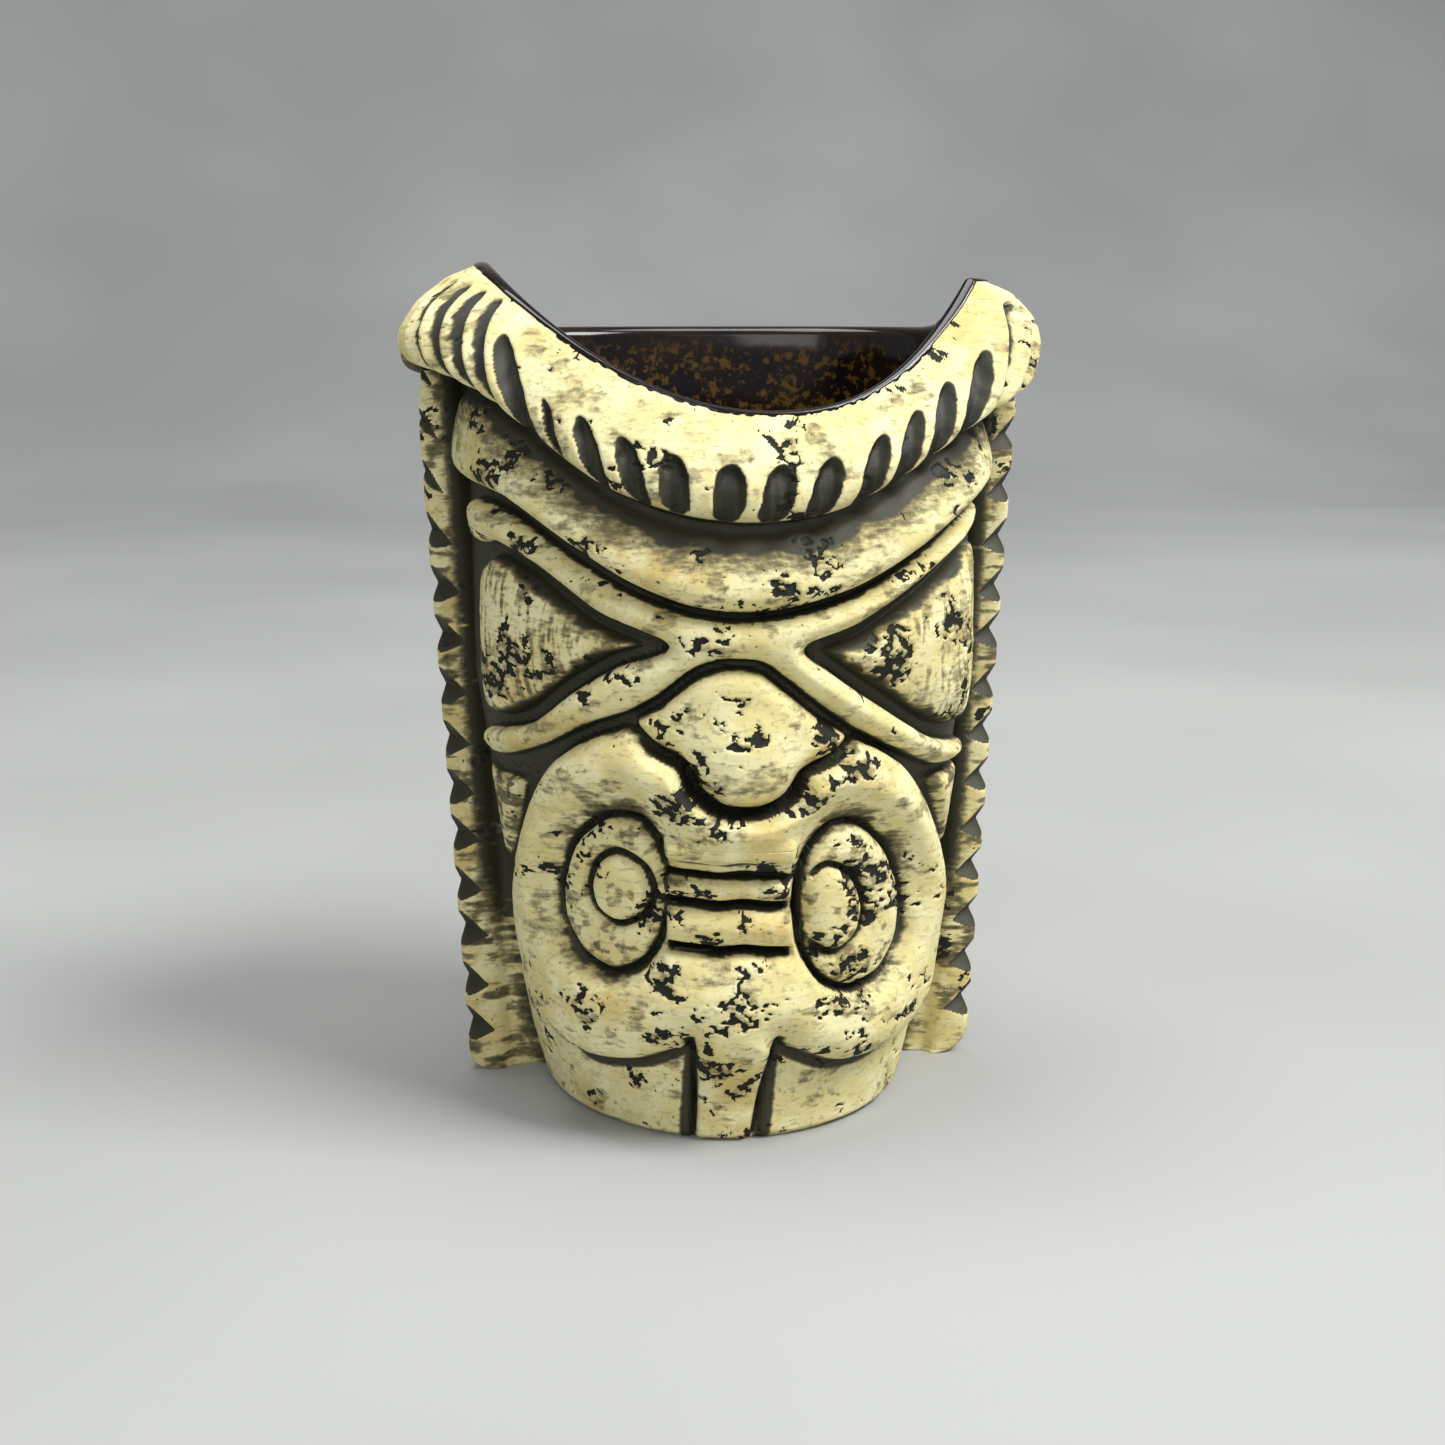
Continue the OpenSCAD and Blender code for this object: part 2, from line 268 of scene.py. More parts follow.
class CupOutline:
    """The columns of the cup's outline in plan: across the front, then round the back."""

    def __init__(self, form: MugForm, cell: float, reach: float, back_cell: float) -> None:
        """Sets the columns out.

        Args:
            form: The plain form.
            cell: Width of a fine column, in mm.
            reach: How far the fine columns run behind the corners, in mm.
            back_cell: Width of a column on the back, in mm.
        """
        self.form = form
        half = int(math.ceil(0.5 * math.pi * MEAN_R / cell / 4)) * 4
        ends = int(round(reach / cell / 4)) * 4
        angles = np.linspace(-0.5 * math.pi, 0.5 * math.pi, 2 * half + 1)
        step = reach / ends
        behind = np.arange(1, ends + 1) * step
        self.turn = np.concatenate([np.full(ends, -0.5 * math.pi), angles, np.full(ends, 0.5 * math.pi)])
        self.behind = np.concatenate([behind[::-1], np.zeros(2 * half + 1), behind])
        self.side = np.sign(self.turn)
        self.fine = len(self.turn)
        start = math.asin((reach / form.top_back) ** (1 / 0.9))
        count = int(round((math.pi - 2 * start) * 46.0 / back_cell))
        self.back_turn = np.linspace(start, math.pi - start, count + 1)[1:-1]

    def across(self, z: Array) -> Array:
        """Distance along the surface from the middle of the face, for the fine columns."""
        mean = (self.form.face_x(z) + self.form.face_reach(z)) / 2
        return mean * self.turn[None, :] + self.side[None, :] * self.behind[None, :]

    def front(self, z: Array, out: Array) -> Tuple[Array, Array]:
        """Places of the fine columns, moved outwards by some amount.

        Args:
            z: Heights, with one column of the array for each fine column.
            out: How far each place stands proud of the plain form, in mm.

        Returns:
            X and Y of each place, in mm.
        """
        f = self.form
        half, reach = f.face_x(z), f.face_reach(z)
        sin_t, cos_t = np.sin(self.turn)[None, :], np.maximum(np.cos(self.turn)[None, :], 0.0)
        nx, ny = sin_t * reach, -cos_t * half
        size = np.sqrt(nx * nx + ny * ny)
        behind = np.broadcast_to(self.behind[None, :], z.shape)
        out = out + f.flare * ease(137.0, 158.0, z) * ease(0.7, 1.5, self.turn) * ease(14.0, 3.0, behind)
        back = ease(0.0, 9.0, behind)
        x = half * sin_t * (1 - back) + self.side[None, :] * f.back_x(z, behind) * back
        y = f.corner_y - reach * cos_t + behind
        return x + out * nx / size, y + out * ny / size

    def rear(self, z: Array, out: Array) -> Tuple[Array, Array]:
        """Places round the back, from the right to the left, moved outwards by some amount."""
        f = self.form
        half = f.corner_x(z) - f.corner_set + out
        reach = f.back_reach(z) + out
        cos_t, sin_t = np.cos(self.back_turn)[None, :], np.sin(self.back_turn)[None, :]
        return half * np.sign(cos_t) * np.abs(cos_t) ** 0.72, f.corner_y + reach * sin_t**0.9

    def loop(self, z: Array, out: Array) -> Tuple[Array, Array]:
        """Places of all columns, fine ones first and then the back."""
        n = self.fine
        fx, fy = self.front(z[:, :n], out[:, :n])
        bx, by = self.rear(z[:, n:], out[:, n:])
        return np.hstack([fx, bx]), np.hstack([fy, by])

    def rim(self) -> Array:
        """Height of the rim at every column, fine ones first and then the back."""
        f = self.form
        z = np.full((1, self.fine), f.front_rim_h)
        for _ in range(3):
            x, _y = self.front(z, np.zeros_like(z))
            z = np.where(self.behind[None, :] > 0, f.side_rim(self.behind, self.side)[None, :],
                         f.front_rim(x))
        back = f.side_rim(f.top_back * np.sin(self.back_turn) ** 0.9, np.sign(np.cos(self.back_turn)))
        return np.concatenate([z[0], back])

    def lip_inset(self) -> Array:
        """How far inside the plain form the rim's outer edge stands, at every column."""
        return self.form.lip_set * self.front_share()

    def front_share(self) -> Array:
        """1 where the rim belongs to the carved front and 0 round the back, at every column."""
        return np.concatenate([1 - ease(9.0, 14.0, self.behind), np.zeros(len(self.back_turn))])

    def rim_round(self) -> Array:
        """Height of the rounding of the rim, at every column."""
        front = self.front_share()
        return self.form.lip_rise * front + self.form.back_round * (1 - front)


# ---------------------------------------------------------------- meshes


def new_mesh(name: str, points: Array, groups: Sequence[Tuple[Array, bool]],
             layers: Optional[Dict[str, Array]] = None) -> bpy.types.Object:
    """Makes an object from arrays, in mm.

    Args:
        name: Name of the object.
        points: The corners, one a row, in mm.
        groups: Arrays of faces with one face a row, each with True where they shade smoothly.
        layers: Values kept on the corners, by name.

    Returns:
        The new object, at the origin.
    """
    mesh = bpy.data.meshes.new(name)
    mesh.vertices.add(len(points))
    mesh.vertices.foreach_set("co", (points * MM).astype(np.float32).ravel())
    corners = np.concatenate([g.ravel() for g, _ in groups])
    sizes = np.concatenate([np.full(len(g), g.shape[1]) for g, _ in groups])
    mesh.loops.add(len(corners))
    mesh.loops.foreach_set("vertex_index", corners.astype(np.int32))
    mesh.polygons.add(len(sizes))
    starts = np.concatenate([[0], np.cumsum(sizes)[:-1]])
    mesh.polygons.foreach_set("loop_start", starts.astype(np.int32))
    mesh.update(calc_edges=True)
    smooth = np.concatenate([np.full(len(g), s) for g, s in groups])
    mesh.polygons.foreach_set("use_smooth", smooth)
    for key, values in (layers or {}).items():
        layer = mesh.attributes.new(key, "FLOAT", "POINT")
        layer.data.foreach_set("value", np.asarray(values, np.float32).ravel())
    mesh.validate()
    mesh.update()
    piece = bpy.data.objects.new(name, mesh)
    bpy.context.scene.collection.objects.link(piece)
    return piece


def ring_faces(rows: int, columns: int, first: int = 0, flip: bool = False) -> Array:
    """Four-cornered faces of a tube of rows, each a closed ring of columns."""
    r, c = np.meshgrid(np.arange(rows - 1), np.arange(columns), indexing="ij")
    d = (c + 1) % columns
    quad = np.stack([r * columns + c, r * columns + d, (r + 1) * columns + d, (r + 1) * columns + c], -1)
    quad = quad.reshape(-1, 4) + first
    return quad[:, ::-1] if flip else quad


def cap_faces(columns: int, row_start: int, centre: int, flip: bool = False) -> Array:
    """Three-cornered faces from a ring to a middle point."""
    c = np.arange(columns)
    tri = np.stack([row_start + c, row_start + (c + 1) % columns, np.full(columns, centre)], -1)
    return tri[:, ::-1] if flip else tri


# ---------------------------------------------------------------- the carved face


class Member(Enum):
    """The members of the carved front, in the order that one covers another."""

    GROUND = 0
    CROWN = 1
    FOREHEAD = 2
    BAND = 3
    LEFT_EYE = 4
    RIGHT_EYE = 5
    NOSE = 6
    MUZZLE = 7
    LEFT_RING = 8
    RIGHT_RING = 9
    LEFT_BOSS = 10
    RIGHT_BOSS = 11
    UPPER_LIP = 12
    MIDDLE_LIP = 13
    LOWER_LIP = 14
    LEFT_CHIN = 15
    RIGHT_CHIN = 16
    TONGUE = 17
    LEFT_CHEEK = 18
    RIGHT_CHEEK = 19


NODE_OF = {
    Member.GROUND: "cup_body", Member.CROWN: "crown", Member.FOREHEAD: "forehead_roll",
    Member.BAND: "crossed_brow_band", Member.LEFT_EYE: "left_eye", Member.RIGHT_EYE: "right_eye",
    Member.NOSE: "nose", Member.MUZZLE: "muzzle", Member.LEFT_RING: "left_mouth_ring",
    Member.RIGHT_RING: "right_mouth_ring", Member.LEFT_BOSS: "left_ring_boss",
    Member.RIGHT_BOSS: "right_ring_boss", Member.UPPER_LIP: "upper_lip",
    Member.MIDDLE_LIP: "middle_lip", Member.LOWER_LIP: "lower_lip", Member.LEFT_CHIN: "left_chin",
    Member.RIGHT_CHIN: "right_chin", Member.TONGUE: "tongue", Member.LEFT_CHEEK: "left_cheek",
    Member.RIGHT_CHEEK: "right_cheek",
}


RINGS = ((Member.LEFT_RING, Member.LEFT_BOSS, -1), (Member.RIGHT_RING, Member.RIGHT_BOSS, 1))


@dataclass
class CarvedFace:
    """The carved front: outlines in mm in the front view, and how proud each member stands."""

    form: MugForm
    outline: CupOutline
    cell: float = 0.31
    block: int = 4
    crown_low: Points = ((-60, 139), (-50, 139), (-36.5, 128.5), (-25, 120.5), (-11.5, 116), (2, 114.5),
                         (18, 116.5), (35, 124.5), (50, 134), (60, 138))
    forehead_low: Points = ((-60, 122), (-49.5, 119.5), (-42, 117.5), (-31.5, 110.5), (-21.5, 104.5),
                            (-11, 100.5), (-0.5, 99), (10, 100), (21.5, 103), (33, 108.5), (42.5, 114.5),
                            (49.5, 118.5), (60, 122))
    band: Points = ((-50, 117), (-42, 115.2), (-31.5, 108.5), (-21.5, 103), (-11, 99.4), (-0.5, 98),
                    (10, 99), (21.5, 101.7), (33, 106.8), (42.5, 112.6), (50, 116.5), (47, 112),
                    (42, 107.5), (33.5, 102), (21.5, 95.5), (12, 92.3), (17, 88), (28, 80.5), (37.5, 74),
                    (45, 71), (49, 69.5), (46.5, 67), (40.5, 66.5), (32, 70.5), (25.5, 74), (20, 77.5),
                    (15, 81), (8.5, 86), (3, 89.7), (-3.5, 90.2), (-9, 88.7), (-16, 83.5), (-21, 80.7),
                    (-29, 77.5), (-37.5, 72.5), (-46, 68.5), (-49, 69.5), (-48.5, 74), (-39.5, 77.5),
                    (-32, 84), (-23.5, 89.5), (-14.5, 93), (-26.5, 98), (-37, 105.5), (-44.5, 109),
                    (-49.5, 108.5))
    left_eye: Points = ((-15.5, 93), (-26.5, 97.4), (-37, 104.7), (-44.5, 108), (-48, 104), (-48.6, 92),
                        (-47.8, 79), (-45.5, 75.8), (-39.5, 78.4), (-32, 84.9), (-23.5, 90.2))
    right_eye: Points = ((13, 92.3), (21.5, 94.7), (33.5, 101.2), (42, 106.5), (46.5, 110), (48.2, 96),
                         (48, 82), (45.6, 73), (37.5, 75), (28, 81.4), (17, 88.8))
    nose: Points = ((-20.5, 79.6), (-16, 82.3), (-9, 87.6), (-3.5, 89.2), (3, 88.6), (8.5, 84.8),
                    (15, 79.8), (20.3, 76.4), (17.5, 72.8), (11.5, 70.3), (8, 65.8), (2.5, 63.6),
                    (-4.5, 64.4), (-9.3, 68.3), (-11.5, 72.4), (-17, 75.4))
    muzzle: Points = ((-20, 78.7), (-29, 75.5), (-35.5, 70.5), (-39, 63.5), (-41.5, 54), (-43.5, 44),
                      (-43.5, 32), (-39.7, 21.5), (-34, 15.6), (-27.5, 13.8), (-18.5, 15.2), (-11, 18.6),
                      (-9.6, 19.0), (-10.5, -9), (2, -9), (5.6, 19.0), (7.5, 18.2), (16, 14), (24, 13.2),
                      (32, 14.6), (39.5, 18.5), (43.5, 28), (43, 42.5), (40, 53), (36.5, 62), (32, 69),
                      (26, 73.4), (20, 76.2), (8, 82), (-8, 82))
    left_ring: Points = ((-30.6, 48.5), (-28.5, 56.5), (-23.5, 61.5), (-18, 61.5), (-14, 57), (-12.8, 50),
                         (-13.3, 42), (-16.5, 35), (-22, 31.8), (-27.5, 35), (-30.4, 41.5))
    right_ring: Points = ((9.5, 48), (11.3, 55), (15.5, 59.6), (20.5, 59.6), (25.5, 54.5), (28.5, 46),
                          (28.3, 36.5), (24.5, 29.8), (18.5, 28), (12.8, 31.2), (9.6, 38.5))
    left_boss: Points = ((-24.9, 49), (-23.8, 53.3), (-20.9, 55.3), (-17.2, 53), (-15.8, 48.8), (-17, 44.6),
                         (-20.8, 42.7), (-23.8, 44.8))
    right_boss: Points = ((9.9, 44.8), (11, 49.6), (14.3, 52.4), (18, 50.4), (20, 45), (18.9, 39.6),
                          (15.2, 36.8), (11.5, 39.4))
    left_cheek: Points = ((-49, 67), (-46, 65.8), (-40.5, 65.5), (-41.5, 57), (-44, 47), (-47.5, 45),
                          (-49, 50))
    right_cheek: Points = ((38, 64.3), (45, 65), (49, 64), (49, 50), (47, 45), (44.5, 46), (42, 54))
    slot_heights: Tuple[float, float, float] = (51.7, 46.3, 38.0)
    slot_ends: Tuple[float, float] = (-14.4, 8.8)
    mouth_top: float = 57.5
    chin_top: float = 22.0
    tongue_top: float = 18.7
    crown_low_behind: float = 138.0
    layers: Dict[str, Array] = field(default_factory=dict)

    def __post_init__(self) -> None:
        """Sets the grid out and carves it."""
        f, o = self.form, self.outline
        top = o.rim()[:o.fine] - f.lip_rise
        rows = int(math.ceil(f.horn_h / self.cell / 2 / self.block)) * self.block * 2
        self.rows, self.columns = rows, (o.fine - 1) // self.block * self.block
        self.z = np.linspace(0.0, 1.0, rows + 1)[:, None] * top[None, :]
        self.s = o.across(self.z)
        self.x, _ = o.front(self.z, np.full_like(self.z, 4.5))
        self.rim = np.broadcast_to(top[None, :] + f.lip_rise, self.z.shape)
        self.depths = self._member_depths()
        self.member = self._assign()
        self.height = self._carve()

    # ---- outlines

    def _to_surface(self, line: Array, proud: float) -> Array:
        """Turns points of the front view, that far proud of the cup, into places along its surface."""
        f = self.form
        t = np.arcsin(np.clip(line[:, 0] / (f.face_x(line[:, 1]) + proud), -0.9995, 0.9995))
        mean = (f.face_x(line[:, 1]) + f.face_reach(line[:, 1])) / 2
        return np.stack([mean * t, line[:, 1]], -1)

    def _inside(self, points: Points, proud: float, margin: float = 12.0) -> Array:
        """Signed distance inside a closed outline, in mm, or -margin far from it."""
        line = self._to_surface(smooth_line(points, closed=True, steps=6), proud)
        out = np.full(self.s.shape, -margin)
        low, high = line.min(0) - margin, line.max(0) + margin
        near = (self.s > low[0]) & (self.s < high[0]) & (self.z > low[1]) & (self.z < high[1])
        px, pz = self.s[near], self.z[near]
        best, crossings = np.full(px.shape, margin), np.zeros(px.shape, bool)
        for a, b in zip(line, np.roll(line, -1, axis=0)):
            d = b - a
            size = max(float(d @ d), 1e-9)
            t = np.clip(((px - a[0]) * d[0] + (pz - a[1]) * d[1]) / size, 0.0, 1.0)
            best = np.minimum(best, np.hypot(px - a[0] - t * d[0], pz - a[1] - t * d[1]))
            if a[1] != b[1]:
                hit = ((a[1] > pz) != (b[1] > pz)) & (px < d[0] * (pz - a[1]) / d[1] + a[0])
                crossings ^= hit
        out[near] = np.where(crossings, best, -best)
        return out

    def _line_z(self, points: Points) -> Array:
        """Height of an open curve of the front view over every column of the grid."""
        line = smooth_line(points, steps=10)
        return np.interp(self.x, line[:, 0], line[:, 1])

    def _member_depths(self) -> Dict[Member, Array]:
        """How far inside each member every place of the grid lies, in mm."""
        z, x = self.z, self.x
        crown_z, fore_z = self._line_z(self.crown_low), self._line_z(self.forehead_low)
        crown_z = np.where(self.outline.behind[None, :] > 0, self.crown_low_behind, crown_z)
        self.crown_z, self.fore_z = crown_z, fore_z
        past = np.abs(self.outline.turn)[None, :] * MEAN_R + self.outline.behind[None, :]
        side = MEAN_R * 1.52 - past
        depth = {Member.CROWN: np.minimum(z - crown_z, MEAN_R * math.pi / 2 + 11.5 - past),
                 Member.FOREHEAD: np.minimum(np.minimum(crown_z - z, z - fore_z), side)}
        outlines = {
            Member.BAND: (self.band, 3.5),
            Member.LEFT_EYE: (self.left_eye, 2.5), Member.RIGHT_EYE: (self.right_eye, 2.5),
            Member.NOSE: (self.nose, 4.5),
            Member.LEFT_RING: (self.left_ring, 0.5), Member.RIGHT_RING: (self.right_ring, 0.5),
            Member.LEFT_BOSS: (self.left_boss, 0.5), Member.RIGHT_BOSS: (self.right_boss, 0.5),
            Member.LEFT_CHEEK: (self.left_cheek, 2.5), Member.RIGHT_CHEEK: (self.right_cheek, 2.5),
        }
        for member, (points, proud) in outlines.items():
            depth[member] = self._inside(points, proud)
        low, high = self.slot_ends
        slot_1, slot_2, slot_3 = self.slot_heights
        wide = np.minimum(x - low, high - x)
        depth[Member.UPPER_LIP] = np.minimum(np.minimum(z - slot_1, self.mouth_top - z), wide)
        depth[Member.MIDDLE_LIP] = np.minimum(np.minimum(z - slot_2, slot_1 - z), wide)
        depth[Member.LOWER_LIP] = np.minimum(np.minimum(z - slot_3, slot_2 - z), wide)
        left_cut, right_cut = -9.3 - 0.045 * (19.5 - z), 5.5 - 0.19 * (19.5 - z)
        self.left_cut, self.right_cut = left_cut, right_cut
        self.snout = self._inside(self.muzzle, 4.0)
        beside = np.maximum(left_cut - x, x - right_cut)
        depth[Member.MUZZLE] = np.minimum(self.snout, np.maximum(z - self.tongue_top, beside))
        low_muzzle = 0.4 - self.snout
        depth[Member.TONGUE] = np.minimum(np.minimum(x - left_cut, right_cut - x), self.tongue_top - z)
        depth[Member.LEFT_CHIN] = np.minimum(np.minimum(left_cut - x, self.chin_top - z), low_muzzle)
        depth[Member.RIGHT_CHIN] = np.minimum(np.minimum(x - right_cut, self.chin_top - z), low_muzzle)
        return depth

    def _assign(self) -> Array:
        """Gives every block of the grid to one member."""
        half = self.block // 2
        rows, columns = self.rows // self.block, self.columns // self.block
        pick = np.ix_(np.arange(rows) * self.block + half, np.arange(columns) * self.block + half)
        best, owner = np.full((rows, columns), -3.0), np.zeros((rows, columns), int)
        for member, depth in self.depths.items():
            d = depth[pick]
            if member is Member.GROUND:
                continue
            over = d > best
            nested = member in (Member.NOSE, Member.LEFT_RING, Member.RIGHT_RING, Member.LEFT_BOSS,
                                Member.RIGHT_BOSS, Member.UPPER_LIP, Member.MIDDLE_LIP, Member.LOWER_LIP)
            if nested:
                over = d > -0.3
            best, owner = np.where(over, 99.0 if nested else d, best), np.where(over, member.value, owner)
        behind = self.outline.behind[None, :][:, np.arange(columns) * self.block + half]
        owner = np.where((behind > 0) & (owner != Member.CROWN.value), -1, owner)
        return owner

    # ---- carving

    def _crown_height(self) -> Array:
        """Height of the crown: a broad bevel under the rim that curls under at its lower edge."""
        o = self.outline
        share = (self.rim - self.z) / np.maximum(self.rim - self.crown_z, 1.0)
        line = smooth_line(((0.0, 0.0), (0.05, 0.9), (0.12, 2.2), (0.25, 4.0), (0.4, 5.6), (0.55, 6.9),
                            (0.7, 7.9), (0.8, 8.1), (0.88, 7.8), (0.94, 6.7), (0.98, 4.9),
                            (1.01, 2.4), (1.04, 0.6), (1.1, 0.0)), steps=8)
        blunt = smooth_line(((0.0, 0.0), (0.04, 1.1), (0.1, 2.8), (0.2, 4.9), (0.35, 6.8), (0.55, 8.0),
                             (0.7, 8.2), (0.82, 8.0), (0.9, 7.4), (0.95, 6.4), (0.99, 4.6),
                             (1.02, 2.4), (1.05, 0.6), (1.1, 0.0)), steps=8)
        around = np.abs(o.turn) * MEAN_R + o.behind
        end = ease(34.0, 62.0, around)[None, :]
        height = np.interp(share, line[:, 0], line[:, 1]) * (1 - end)
        height += np.interp(share, blunt[:, 0], blunt[:, 1]) * end
        swell = 1.0 + np.where(o.turn < 0, 0.84, 0.74)[None, :] * end
        over = around - MEAN_R * math.pi / 2
        close = np.sqrt(np.clip(1.0 - (np.maximum(over, 0.0) / 11.8) ** 2, 0.0, 1.0))[None, :]
        inset = o.lip_inset()[None, :o.fine] * (1 - 0.3 * ease(0.1, 0.8, share))
        return (height * swell * close - inset) * (share < 1.08)

    def _crown_cuts(self) -> Array:
        """Depth and darkness of the flutes and slots that are carved across the crown; the darkness is
        charcoal wash with painted shade in the cuts.
        """
        x, z = self.x, self.z
        mid = self.crown_z + 0.27 * (self.rim - self.crown_z)
        cut, dark = np.zeros_like(x), np.zeros_like(x)
        across = self.s
        slots = [(-37.8, -0.66, 2.5, 8.2), (-31.2, -0.5, 1.0, 3.6), (-24.2, -0.4, 2.0, 5.0),
                 (-17.6, -0.3, 2.0, 5.2), (-10.9, -0.1, 2.3, 5.2),
                 (-2.7, 0.1, 2.4, 5.2), (4.8, 0.22, 2.5, 5.2), (12.4, 0.32, 2.4, 5.2), (20.6, 0.45, 2.3, 5.4),
                 (27.4, 0.6, 2.4, 5.8), (34.4, 0.7, 2.6, 6.4), (42.0, 0.8, 2.6, 7.2)]
        for centre, lean, half_w, half_h in slots:
            drift = 0.7 * (rough_noise(z / 2.2, np.full_like(z, centre), 51, 2) - 0.5)
            dx = across - centre - lean * (z - mid) + drift
            dz = z - mid + 0.2
            ragged = 1.0 + 0.22 * (rough_noise(across / 0.7, z / 3.0, 57, 2) - 0.5) * ease(0.5, -3.0, dz)
            out = np.sqrt((dx / half_w) ** 2 + np.abs(dz / half_h) ** 3.0) * ragged
            cut = np.maximum(cut, 1.9 * ease(1.12, 0.55, out))
            dark = np.maximum(dark, ease(1.10, 0.92, out))
        flutes = [(-43.4, 0.6), (-47.8, 0.6), (-52.2, 0.58), (-57.0, 0.55), (-62.5, 0.45), (-68.0, 0.35),
                  (-73.5, 0.2), (-78.5, 0.1), (49.0, -0.7), (55.4, -0.65), (61.5, -0.5), (67.0, -0.35),
                  (72.5, -0.2), (78.0, -0.1)]
        for centre, lean in flutes:
            hand = -1.0 if centre < 0 else 1.0
            bow = 0.01 * (z - mid) ** 2 * hand
            dx = (across - centre + lean * (z - mid) + 0.5 * bow) * -hand
            long = ease(1.0, 0.82, np.abs((z - mid - 2.2) / 9.4))
            vee = np.where(dx > 0, 1.0 - dx / 0.9, 1.0 + dx / 4.0)
            vee = np.clip(vee, 0.0, 1.0) * long
            cut = np.maximum(cut, (3.2 if centre < 0 else 4.2) * vee)
            smear = rough_noise(across / 0.8, z / 5.0, 63, 3)
            dark = np.maximum(dark, ease(0.40, 0.66, vee + 0.32 * (smear - 0.5)))
        on_crown = ease(0.0, 0.8, self.depths[Member.CROWN])
        return np.stack([cut * on_crown, dark * on_crown])

    def _muzzle_height(self) -> Array:
        """Height of the snout with its rings, its mouth and its overhanging lower lobes."""
        s, z, x, d = self.s, self.z, self.x, self.depths
        inner = self.snout
        in_tongue = ease(24.0, 17.0, z) * (np.abs(x + 2.5) < 9.5)
        body = 6.6 * dome(inner / (1.0 - 0.9 * in_tongue), 8.0)
        body += 2.0 * dome(inner, 5.0) * ease(40.0, 27.0, z) * ease(40.0, 20.0, np.abs(s + 1.0))
        half_bridge = np.maximum(12.0 + 0.42 * (z - 55.0), 4.0)
        bridge = np.exp(-((x + 2.0) / half_bridge) ** 10 - ((z - 63.0) / 10.0) ** 6)
        self.bridge = bridge
        body += 2.6 * bridge * ease(0.0, 4.0, inner)
        for ring, boss, hand in RINGS:
            deep, core = d[ring], d[boss]
            inner_side = ease(2.0, -6.0, hand * (s - hand * 20.0))
            dish = ease(-7.5 - 2.0 * inner_side, -0.3, deep) * (0.25 + 0.75 * ease(30.0, 50.0, z))
            body -= 4.6 * dish * (deep <= 0)
            ring_top = 3.0 + 1.2 * dome(deep - 0.7, 2.6) + 0.6 * ease(1.0, 5.0, deep)
            body = np.where(deep > 0, ring_top, body)
            low_side = ease(50.0, 36.0, z) * ease(-4.0, 6.0, hand * (s - hand * 17.0))
            groove = np.exp(-((deep + 0.1 + 0.5 * low_side) / (0.8 + 0.75 * low_side)) ** 2)
            body -= (1.7 + 1.3 * ease(46.0, 34.0, z)) * groove
            moat = np.exp(-((core + 0.6) / 0.8) ** 2)
            body -= 1.5 * moat * ease(-2.2, 1.2, hand * (s - hand * 12.0)) + 0.9 * moat
            body += 1.3 * dome(core, 4.0) * (core > 0)
        low, high = self.slot_ends
        span = ease(-0.6, 1.2, np.minimum(x - low, high - x))
        line = smooth_line(((30.0, 7.4), (34.0, 7.0), (36.3, 5.8), (36.9, 4.0), (37.4, 0.8), (38.6, 0.8),
                            (39.1, 4.2), (40.2, 5.6), (42.4, 6.2), (44.0, 5.6), (45.2, 3.4),
                            (45.7, 0.6), (46.9, 0.6), (47.4, 3.4), (48.6, 4.5), (50.0, 4.4),
                            (50.8, 3.4), (51.2, 0.8), (52.1, 0.8), (52.6, 3.0), (54.4, 4.6),
                            (55.6, 7.4), (57.4, 8.2), (60.0, 8.4)), steps=5)
        waver = 0.35 * (lattice_noise(x / 5.0, np.zeros_like(z), 71) - 0.5) * 2 + 0.04 * (x + 2.5)
        lips = np.interp(z + waver, line[:, 0], line[:, 1])
        in_mouth = ease(30.0, 34.0, z) * ease(60.0, 57.6, z) * span
        body = body * (1 - in_mouth) + lips * in_mouth
        body *= 1.0 - 0.78 * ease(24.0, 6.0, z) * (np.abs(x + 2.5) < 9.5)
        lobes = ease(2.6, 0.2, inner) * ease(-2.0, -0.4, inner) * ease(20.5, 18.5, z)
        body -= 1.2 * lobes
        turned = np.degrees(np.abs(self.outline.turn))[None, :]
        return body * (1.0 - 0.95 * ease(50.0, 84.0, turned))

    def _carve(self) -> Array:
        """Height of the carved surface over the plain form, and the layers of its finish."""
        s, z, x, d = self.s, self.z, self.x, self.depths
        share = np.clip((self.crown_z - z) / np.maximum(self.crown_z - self.fore_z, 1.0), -0.2, 1.2)
        roll = smooth_line(((-0.1, 0.0), (0.0, 0.1), (0.12, 0.3), (0.24, 1.1), (0.4, 2.8), (0.55, 4.1),
                            (0.7, 5.0), (0.82, 5.2), (0.91, 4.3), (0.97, 2.6), (1.0, 1.0),
                            (1.05, 0.0)), steps=8)
        side = dome(np.maximum(d[Member.FOREHEAD], self._side_room()), 3.0)
        forehead = np.interp(share, roll[:, 0], roll[:, 1]) * side
        band = 4.3 * dome(d[Member.BAND] - 0.5, 3.6)
        eyes = sum(3.2 * dome(d[m] - 1.3, 8.0) + 0.6 * dome(d[m] - 1.3, 1.2) - 0.3 * ease(0.0, 1.0, d[m])
                   for m in (Member.LEFT_EYE, Member.RIGHT_EYE))
        bulb = 3.6 * np.exp(-(((x + 1.5) / 10.0) ** 2 + ((z - 71.5) / 9.5) ** 2) ** 1.3)
        nose = (3.9 + bulb) * dome(d[Member.NOSE] - 0.35, 3.4)
        muzzle = self._muzzle_height()
        over_nose = ease(-2.2, -0.4, d[Member.NOSE])
